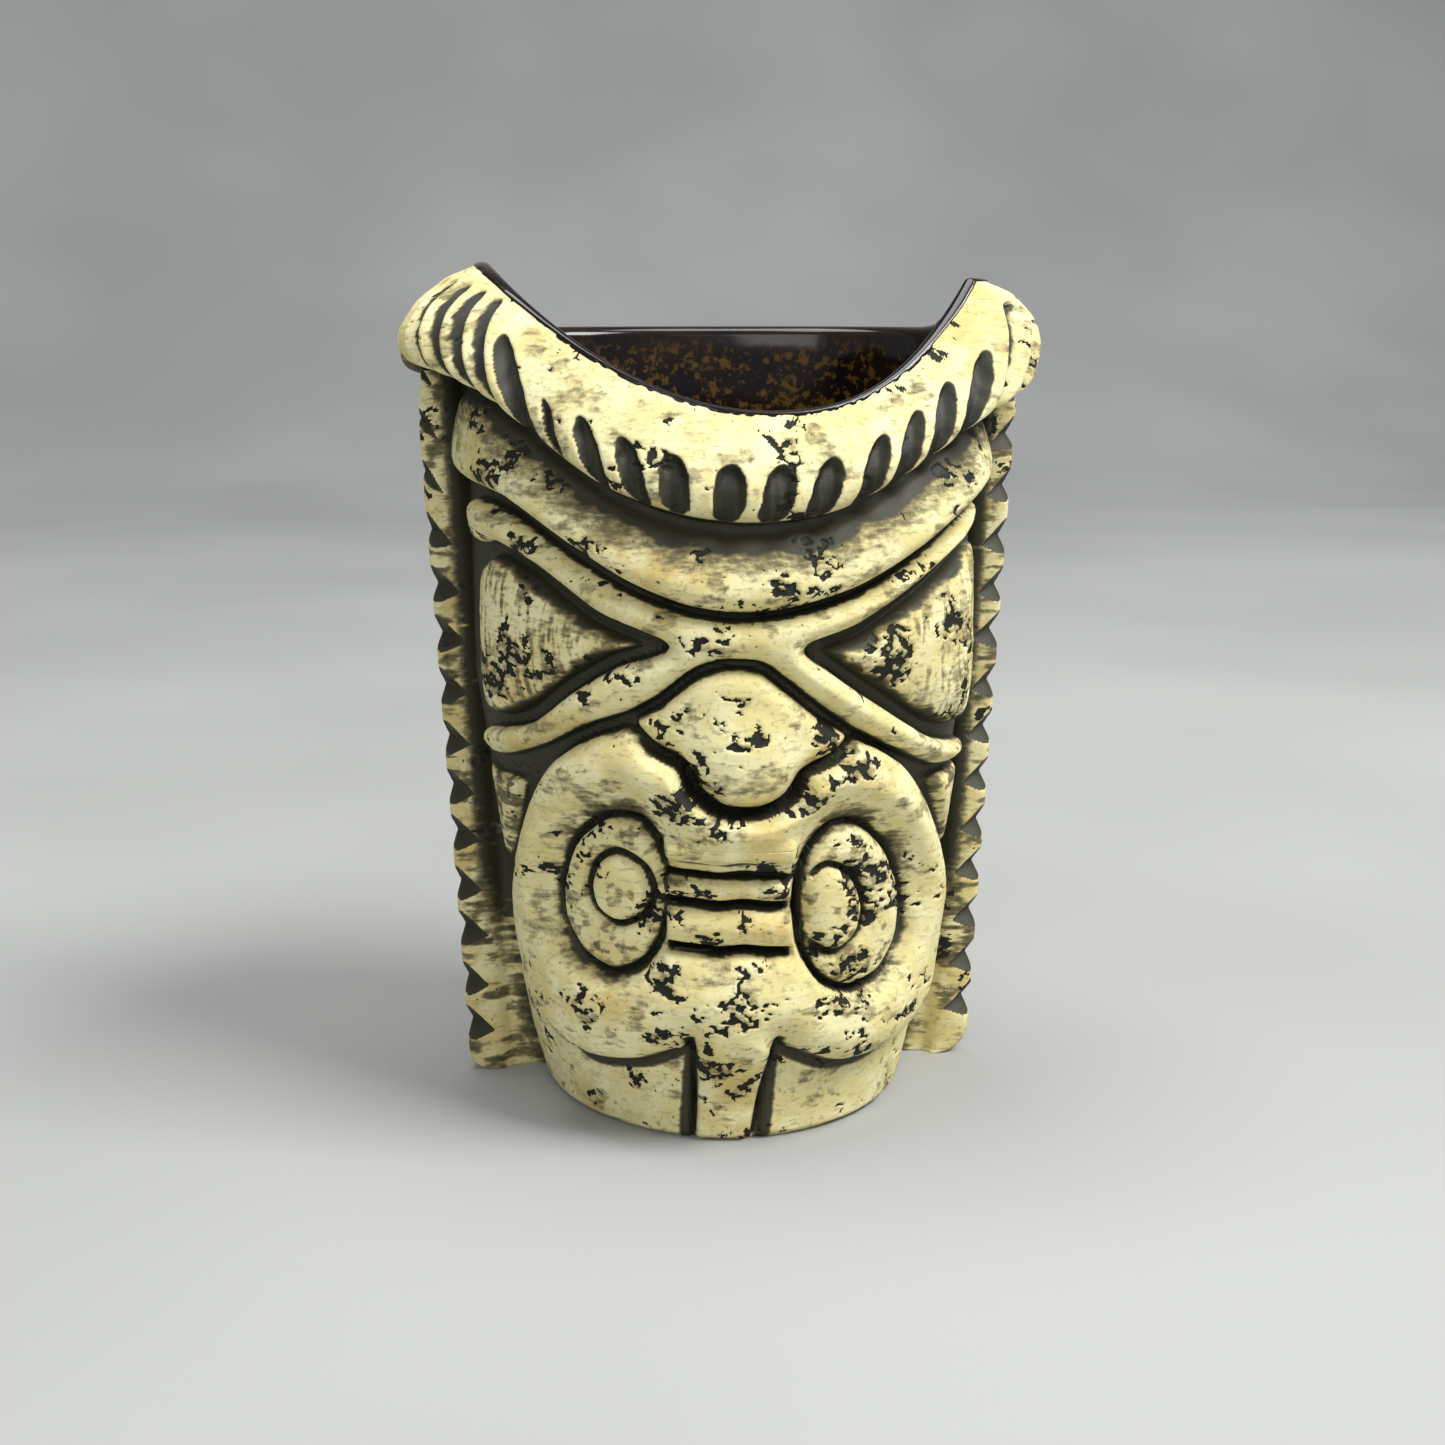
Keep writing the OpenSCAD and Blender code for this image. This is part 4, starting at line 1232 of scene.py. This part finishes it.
@dataclass
class ToothStrip:
    """A chip-carved corner: a smooth strip whose notches are cut by a node tree."""

    form: MugForm
    side: Side
    cell: float = 0.33
    tooth_pitch: float = 9.7
    notch_depth: float = 4.0
    first_notch: float = 9.0
    slant: float = 0.35
    top_slant: float = 1.0
    foot_round: float = 5.0
    proud: float = 2.0

    def _section(self, z: Array) -> Tuple[Array, Array]:
        """The strip's outline in plan at each height.

        Args:
            z: Heights, one for each row.

        Returns:
            Distance inwards from the corner, and distance behind the corner line, for each row.
        """
        f = self.form
        inner = f.corner_x(z) - f.face_x(z) + 2.5
        flat = np.linspace(0.0, 1.0, 22)[None, :-1]
        flat_a = inner[:, None] + (9.6 - inner[:, None]) * flat
        key_a = np.array([9.6, 8.7, 7.8, 6.8, 5.6, 3.4, 1.6, 0.7, 0.15, 0.0, 0.25, 1.0, 2.6, 4.2, 5.4])
        key_b = np.array([0.0, -0.25, -0.9, -1.6, -2.0, -2.15, -2.1, -1.85, -1.3, -0.5, 0.5, 2.4, 6.4,
                          9.6, 11.6])
        line = smooth_line(list(zip(key_a, key_b)), steps=6)
        reach = np.concatenate([[0.0], np.cumsum(np.hypot(*np.diff(line, axis=0).T))])
        even = np.linspace(0.0, reach[-1], int(reach[-1] / self.cell))
        a, b = np.interp(even, reach, line[:, 0]), np.interp(even, reach, line[:, 1])
        b = np.where(b < 0, b * self.proud / 2.0, b)
        rows = len(z)
        a = np.hstack([flat_a, np.broadcast_to(a, (rows, len(a))), np.broadcast_to([9.0, 12.0], (rows, 2)),
                       inner[:, None]])
        b = np.hstack([np.zeros_like(flat_a), np.broadcast_to(b, (rows, len(b))),
                       np.broadcast_to([12.4, 12.0], (rows, 2)), np.full((rows, 1), 6.0)])
        return a, b

    def _blank(self, name: str) -> bpy.types.Object:
        """Makes the strip before its notches are cut."""
        f = self.form
        top = 139.5
        z = np.linspace(0.0, top, int(top / self.cell))
        a, b = self._section(z)
        r = self.foot_round
        rounding = np.where(z < r, r - np.sqrt(np.maximum(0.0, r * r - (r - z) ** 2)), 0.0)[:, None]
        tuck = 1.0 * ease(top - 9.0, top, z)[:, None]
        a = a + (rounding + tuck) * ease(9.5, 0.0, a)
        hand = self.side.value
        x = hand * (f.corner_x(z)[:, None] - a)
        y = f.corner_y + b
        zz = np.broadcast_to(z[:, None], a.shape)
        columns = a.shape[1]
        along = a + np.maximum(b, 0) * 2
        bumps = 0.35 * (rough_noise(along / 8.0, zz / 9.0, 131 + hand, 3) - 0.5)
        y = y + bumps * (a < 13)
        points = np.stack([x, y, zz], -1).reshape(-1, 3)
        rows = len(z)
        ends = np.array([[points[:columns, 0].mean(), f.corner_y + 4.0, 0.0],
                         [points[-columns:, 0].mean(), f.corner_y + 4.0, top]])
        points = np.vstack([points, ends])
        count = rows * columns
        mirrored = hand < 0
        faces = [(ring_faces(rows, columns, flip=mirrored), True),
                 (cap_faces(columns, 0, count, flip=not mirrored), False),
                 (cap_faces(columns, count - columns, count + 1, flip=mirrored), False)]
        smear = rough_noise(along / 6.0, zz / 1.0, 141 + hand, 3)
        patch = rough_noise(along / 5.0, zz / 5.0, 151 + hand, 3)
        # Painted shade with stain on the strip's inner part, towards the face.
        side_gap = f.corner_x(zz) - f.face_x(zz) - a
        low = ease(60.0, 15.0, zz)
        near_face = ease(2.4, 6.4, a) * (1 - low) + low * ease(-8.5, -1.0, -side_gap)
        wash_and_shade = (0.85 - 0.15 * low) * near_face * ease(0.15, 0.55, smear * 0.5 + patch * 0.5 + 0.1 * (1 - low))
        wash_and_shade = np.maximum(wash_and_shade, 0.55 * ease(0.42, 0.66, patch * 0.5 + smear * 0.5))
        wash_and_shade = np.maximum(wash_and_shade, 0.75 * ease(118.0, 138.0, zz) * ease(3.0, 8.0, a))
        pits = worm_pits(along, zz, 161 + hand, np.full(a.shape, 0.36)) * ease(10.0, 8.0, a)
        ochre = 0.35 + 0.65 * ease(0.35, 0.65, rough_noise(along / 10.0, zz / 10.0, 171, 2))
        layers = {k: np.concatenate([v.ravel(), [0.0, 0.0]]) for k, v in
                  (("wash_and_shade", wash_and_shade), ("crease", np.zeros_like(wash_and_shade)), ("pits", pits), ("ochre", ochre))}
        return new_mesh(name, points, faces, layers)

    def _tree(self, clay: bpy.types.Material) -> bpy.types.NodeTree:
        """The node tree that cuts the row of notches and darkens them."""
        tree = bpy.data.node_groups.new("row_of_notches", "GeometryNodeTree")
        face = tree.interface
        face.new_socket("Geometry", in_out="INPUT", socket_type="NodeSocketGeometry")
        for key in ("Tooth Pitch", "Notch Depth", "First Notch", "Slant", "Top Slant", "Corner At Foot",
                    "Corner Lean", "Corner Front", "Hand"):
            face.new_socket(key, in_out="INPUT", socket_type="NodeSocketFloat")
        face.new_socket("Seed", in_out="INPUT", socket_type="NodeSocketInt")
        face.new_socket("Geometry", in_out="OUTPUT", socket_type="NodeSocketGeometry")
        w = Wiring(tree)
        given = w.node("NodeGroupInput").outputs
        spot = w.node("GeometryNodeInputPosition").outputs[0]
        parts = w.node("ShaderNodeSeparateXYZ")
        w.feed(parts.inputs[0], spot)
        x, y, z = parts.outputs
        out_x = w.math("MULTIPLY", x, given["Hand"])
        edge_x = w.math("ADD", given["Corner At Foot"], w.math("MULTIPLY", z, given["Corner Lean"]))
        inwards = w.math("SUBTRACT", edge_x, out_x)
        behind = w.math("SUBTRACT", y, given["Corner Front"])
        beyond = w.math("MULTIPLY", w.math("ADD", inwards, behind), -math.sqrt(0.5))
        high = w.rise(z, 0.098, 0.122)
        slanted = w.math("MULTIPLY", high, given["Top Slant"])
        lean = w.math("ADD", given["Slant"], slanted)
        level = w.math("ADD", z, w.math("MULTIPLY", w.math("SUBTRACT", inwards, 0.0025), lean))
        turn = w.math("DIVIDE", w.math("SUBTRACT", level, given["First Notch"]), given["Tooth Pitch"])
        number = w.math("FLOOR", w.math("ADD", turn, 0.5))
        chance = w.node("FunctionNodeRandomValue", data_type="FLOAT")
        chance.inputs[2].default_value, chance.inputs[3].default_value = -1.0, 1.0
        w.feed(chance.inputs["ID"], number)
        w.feed(chance.inputs["Seed"], given["Seed"])
        luck = chance.outputs[1]
        off = w.math("SUBTRACT", w.math("SUBTRACT", turn, number), w.math("MULTIPLY", luck, 0.05))
        width = w.math("SUBTRACT", 0.43, w.math("MULTIPLY", slanted, 0.16))
        share = w.math("SUBTRACT", 1.0, w.math("DIVIDE", w.math("ABSOLUTE", off), width))
        share = w.math("MAXIMUM", share, 0.0)
        share = w.math("MULTIPLY", share, w.math("ADD", 0.95, w.math("MULTIPLY", luck, 0.08)))
        keep = w.math("SUBTRACT", 1.0, w.math("MULTIPLY", slanted, 0.35))
        deep = w.math("MULTIPLY", given["Notch Depth"], keep)
        deep = w.math("MULTIPLY", deep, w.math("MINIMUM", share, 1.0))
        active = w.math("MULTIPLY", w.rise(z, 0.0035, 0.006), w.math("GREATER_THAN", share, 0.0))
        push = w.math("MAXIMUM", w.math("ADD", beyond, deep), 0.0)
        push = w.math("MULTIPLY", push, active)
        shift = w.node("ShaderNodeCombineXYZ")
        w.feed(shift.inputs[0], w.math("MULTIPLY", w.math("MULTIPLY", push, given["Hand"]), -math.sqrt(0.5)))
        w.feed(shift.inputs[1], w.math("MULTIPLY", push, math.sqrt(0.5)))
        old = w.node("GeometryNodeInputNamedAttribute", data_type="FLOAT")
        old.inputs["Name"].default_value = "wash_and_shade"
        speckle = w.node("ShaderNodeTexNoise")
        speckle.inputs["Scale"].default_value = 900.0
        w.feed(speckle.inputs["Vector"], spot)
        # Darker the deeper a notch is cut, with fine speckles.
        notch_dark = w.math("ADD", w.math("MULTIPLY", push, 2600.0), w.math("MULTIPLY", speckle.outputs[0], 0.5))
        notch_dark = w.rise(notch_dark, 0.40, 1.0)
        store = w.node("GeometryNodeStoreNamedAttribute", data_type="FLOAT", domain="POINT")
        store.inputs["Name"].default_value = "wash_and_shade"
        w.feed(store.inputs["Geometry"], given["Geometry"])
        w.feed(store.inputs["Value"], w.math("MAXIMUM", old.outputs[0], notch_dark))
        move = w.node("GeometryNodeSetPosition")
        w.feed(move.inputs["Geometry"], store.outputs[0])
        w.feed(move.inputs["Offset"], shift.outputs[0])
        real = w.node("GeometryNodeRealizeInstances")
        w.feed(real.inputs[0], move.outputs[0])
        dress = w.node("GeometryNodeSetMaterial")
        dress.inputs["Material"].default_value = clay
        w.feed(dress.inputs["Geometry"], real.outputs[0])
        w.feed(w.node("NodeGroupOutput").inputs["Geometry"], dress.outputs[0])
        return tree

    def build(self, name: str, clay: bpy.types.Material) -> bpy.types.Object:
        """Makes the strip with its notches.

        Args:
            name: Name of the object.
            clay: The clay's material.

        Returns:
            The finished strip.
        """
        f = self.form
        blank = self._blank(name + "_blank")
        tree = self._tree(clay)
        sizes = {"Tooth Pitch": self.tooth_pitch * MM, "Notch Depth": self.notch_depth * MM,
                 "First Notch": self.first_notch * MM, "Slant": self.slant, "Top Slant": self.top_slant,
                 "Corner At Foot": f.foot_w / 2 * MM, "Corner Lean": (f.top_w - f.foot_w) / 2 / f.horn_h,
                 "Corner Front": (f.corner_y - self.proud) * MM, "Hand": float(self.side.value),
                 "Seed": 5 + self.side.value}
        return cut_by_tree(blank, tree, sizes, name)


def cut_by_tree(blank: bpy.types.Object, tree: bpy.types.NodeTree, sizes: Dict[str, float],
                name: str) -> bpy.types.Object:
    """Runs a node tree on an object and keeps the result as a plain mesh.

    Args:
        blank: The object that the tree works on. It is removed.
        tree: The node tree.
        sizes: Values of the tree's named inputs.
        name: Name of the result.

    Returns:
        The new object.
    """
    modifier = blank.modifiers.new("notches", "NODES")
    modifier.node_group = tree
    for item in tree.interface.items_tree:
        if item.item_type == "SOCKET" and item.in_out == "INPUT" and item.name in sizes:
            modifier[item.identifier] = sizes[item.name]
    bpy.context.view_layer.update()
    graph = bpy.context.evaluated_depsgraph_get()
    mesh = bpy.data.meshes.new_from_object(blank.evaluated_get(graph), preserve_all_data_layers=True,
                                           depsgraph=graph)
    mesh.name = name
    blank.modifiers.remove(modifier)
    bpy.data.objects.remove(blank)
    piece = bpy.data.objects.new(name, mesh)
    bpy.context.scene.collection.objects.link(piece)
    return piece


# ---------------------------------------------------------------- the studio


@dataclass
class Studio:
    """A pale floor that sweeps up behind, soft lights and the camera."""

    lens: float = 49.83
    pitch: float = 11.86
    yaw: float = 5.5
    stand_off: float = 0.385
    eye_level: float = 0.152
    floor_tone: Colour = (0.39, 0.395, 0.38, 1.0)

    def camera(self) -> None:
        """Places the camera in front of the face, a little to the left of it and looking down."""
        data = bpy.data.cameras.new("camera")
        data.lens, data.sensor_width = self.lens, 36.0
        data.clip_start, data.clip_end = 0.01, 50.0
        camera = bpy.data.objects.new("camera", data)
        turn = math.radians(self.yaw)
        camera.location = (-math.sin(turn) * self.stand_off, -math.cos(turn) * self.stand_off, self.eye_level)
        camera.rotation_euler = (math.radians(90.0 - self.pitch), 0.0, -turn)
        bpy.context.scene.collection.objects.link(camera)
        bpy.context.scene.camera = camera

    def floor(self) -> None:
        """Makes the floor and its sweep."""
        steps = np.linspace(0.0, math.pi / 2, 13)
        bend = [(1.1 + 0.9 * math.sin(t), 0.9 * (1 - math.cos(t))) for t in steps]
        line = [(-3.0, 0.0)] + bend + [(2.0, 4.0)]
        points = np.array([(x, y, z) for y, z in line for x in (-5.0, 5.0)]) / MM
        n = len(line)
        faces = np.array([(2 * i, 2 * i + 1, 2 * i + 3, 2 * i + 2) for i in range(n - 1)])
        sweep = new_mesh("floor", points, [(faces, True)])
        material = bpy.data.materials.new("floor_cloth")
        material.use_nodes = True
        w = Wiring(material.node_tree)
        shader = material.node_tree.nodes["Principled BSDF"]
        place = w.node("ShaderNodeTexCoord").outputs["Object"]
        cloud = ClayFinish._noise(w, place, 3.0, 2.0)
        darker = tuple(0.86 * c for c in self.floor_tone[:3]) + (1.0,)
        w.feed(shader.inputs["Base Color"], w.mix(w.rise(cloud, 0.3, 0.7), darker, self.floor_tone))
        shader.inputs["Roughness"].default_value = 0.9
        sweep.data.materials.append(material)

    def lights(self) -> None:
        """Adds a soft key from above and the right, a fill and a top light."""
        for name, place, aim, size, power in (
                ("key", (0.85, -0.45, 1.35), (0.0, 0.0, 0.08), 0.7, 31.0),
                ("front", (-0.35, -1.5, 0.9), (0.0, 0.0, 0.08), 0.9, 7.0),
                ("top", (-0.15, 0.25, 1.7), (0.0, 0.0, 0.08), 0.9, 16.0)):
            data = bpy.data.lights.new(name, "AREA")
            data.size, data.energy = size, power
            light = bpy.data.objects.new(name, data)
            light.location = place
            aim_line = [a - p for a, p in zip(aim, place)]
            flat = math.hypot(aim_line[0], aim_line[1])
            heading = math.atan2(aim_line[1], aim_line[0]) - math.pi / 2
            light.rotation_euler = (math.atan2(flat, -aim_line[2]), 0.0, heading)
            bpy.context.scene.collection.objects.link(light)
        world = bpy.data.worlds.new("studio")
        world.use_nodes = True
        sky = world.node_tree.nodes["Background"]
        sky.inputs["Color"].default_value = (0.86, 0.90, 1.0, 1.0)
        sky.inputs["Strength"].default_value = 0.36
        bpy.context.scene.world = world
        bpy.context.scene.view_settings.view_transform = "Standard"


# ---------------------------------------------------------------- assembly


def dress(piece: bpy.types.Object, material: bpy.types.Material, slot: str, node: str) -> None:
    """Gives a piece its finish and puts it in the place of its node."""
    piece.data.materials.clear()
    piece.data.materials.append(material)
    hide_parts(node)
    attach(piece, "root")
    LOG.info("%s stands for %s with %d faces", piece.name, node, len(piece.data.polygons))


def main() -> None:
    """Builds the mug, its finishes and the studio."""
    logging.basicConfig(level=logging.INFO, format="%(name)s: %(message)s")
    form = MugForm.from_frame()
    outline = CupOutline(form, cell=0.31, reach=14.0, back_cell=0.8)
    studio = Studio()
    studio.camera()
    studio.floor()
    studio.lights()
    clay = ClayFinish().build("washed_and_shaded_clay")
    glaze = GlazeFinish().build("dark_glaze")
    face = CarvedFace(form, outline)
    for member, node in NODE_OF.items():
        if member is Member.GROUND:
            continue
        dress(face.build(member, node + "_clay"), clay, "clay", node)
    ground = face.build(Member.GROUND, "ground_clay")
    dress(CupShell(form, outline).build(ground), clay, "clay", "cup_body")
    dress(InnerGlaze(form, outline, face).build(), glaze, "glaze", "interior_glaze")
    left = ToothStrip(form, Side.LEFT, tooth_pitch=9.9, top_slant=1.0, foot_round=3.5)
    right = ToothStrip(form, Side.RIGHT, tooth_pitch=9.6, top_slant=0.2, foot_round=6.0, first_notch=10.5)
    dress(left.build("left_tooth_strip_clay", clay), clay, "clay", "left_tooth_strip")
    dress(right.build("right_tooth_strip_clay", clay), clay, "clay", "right_tooth_strip")


if __name__ == "__main__":
    main()
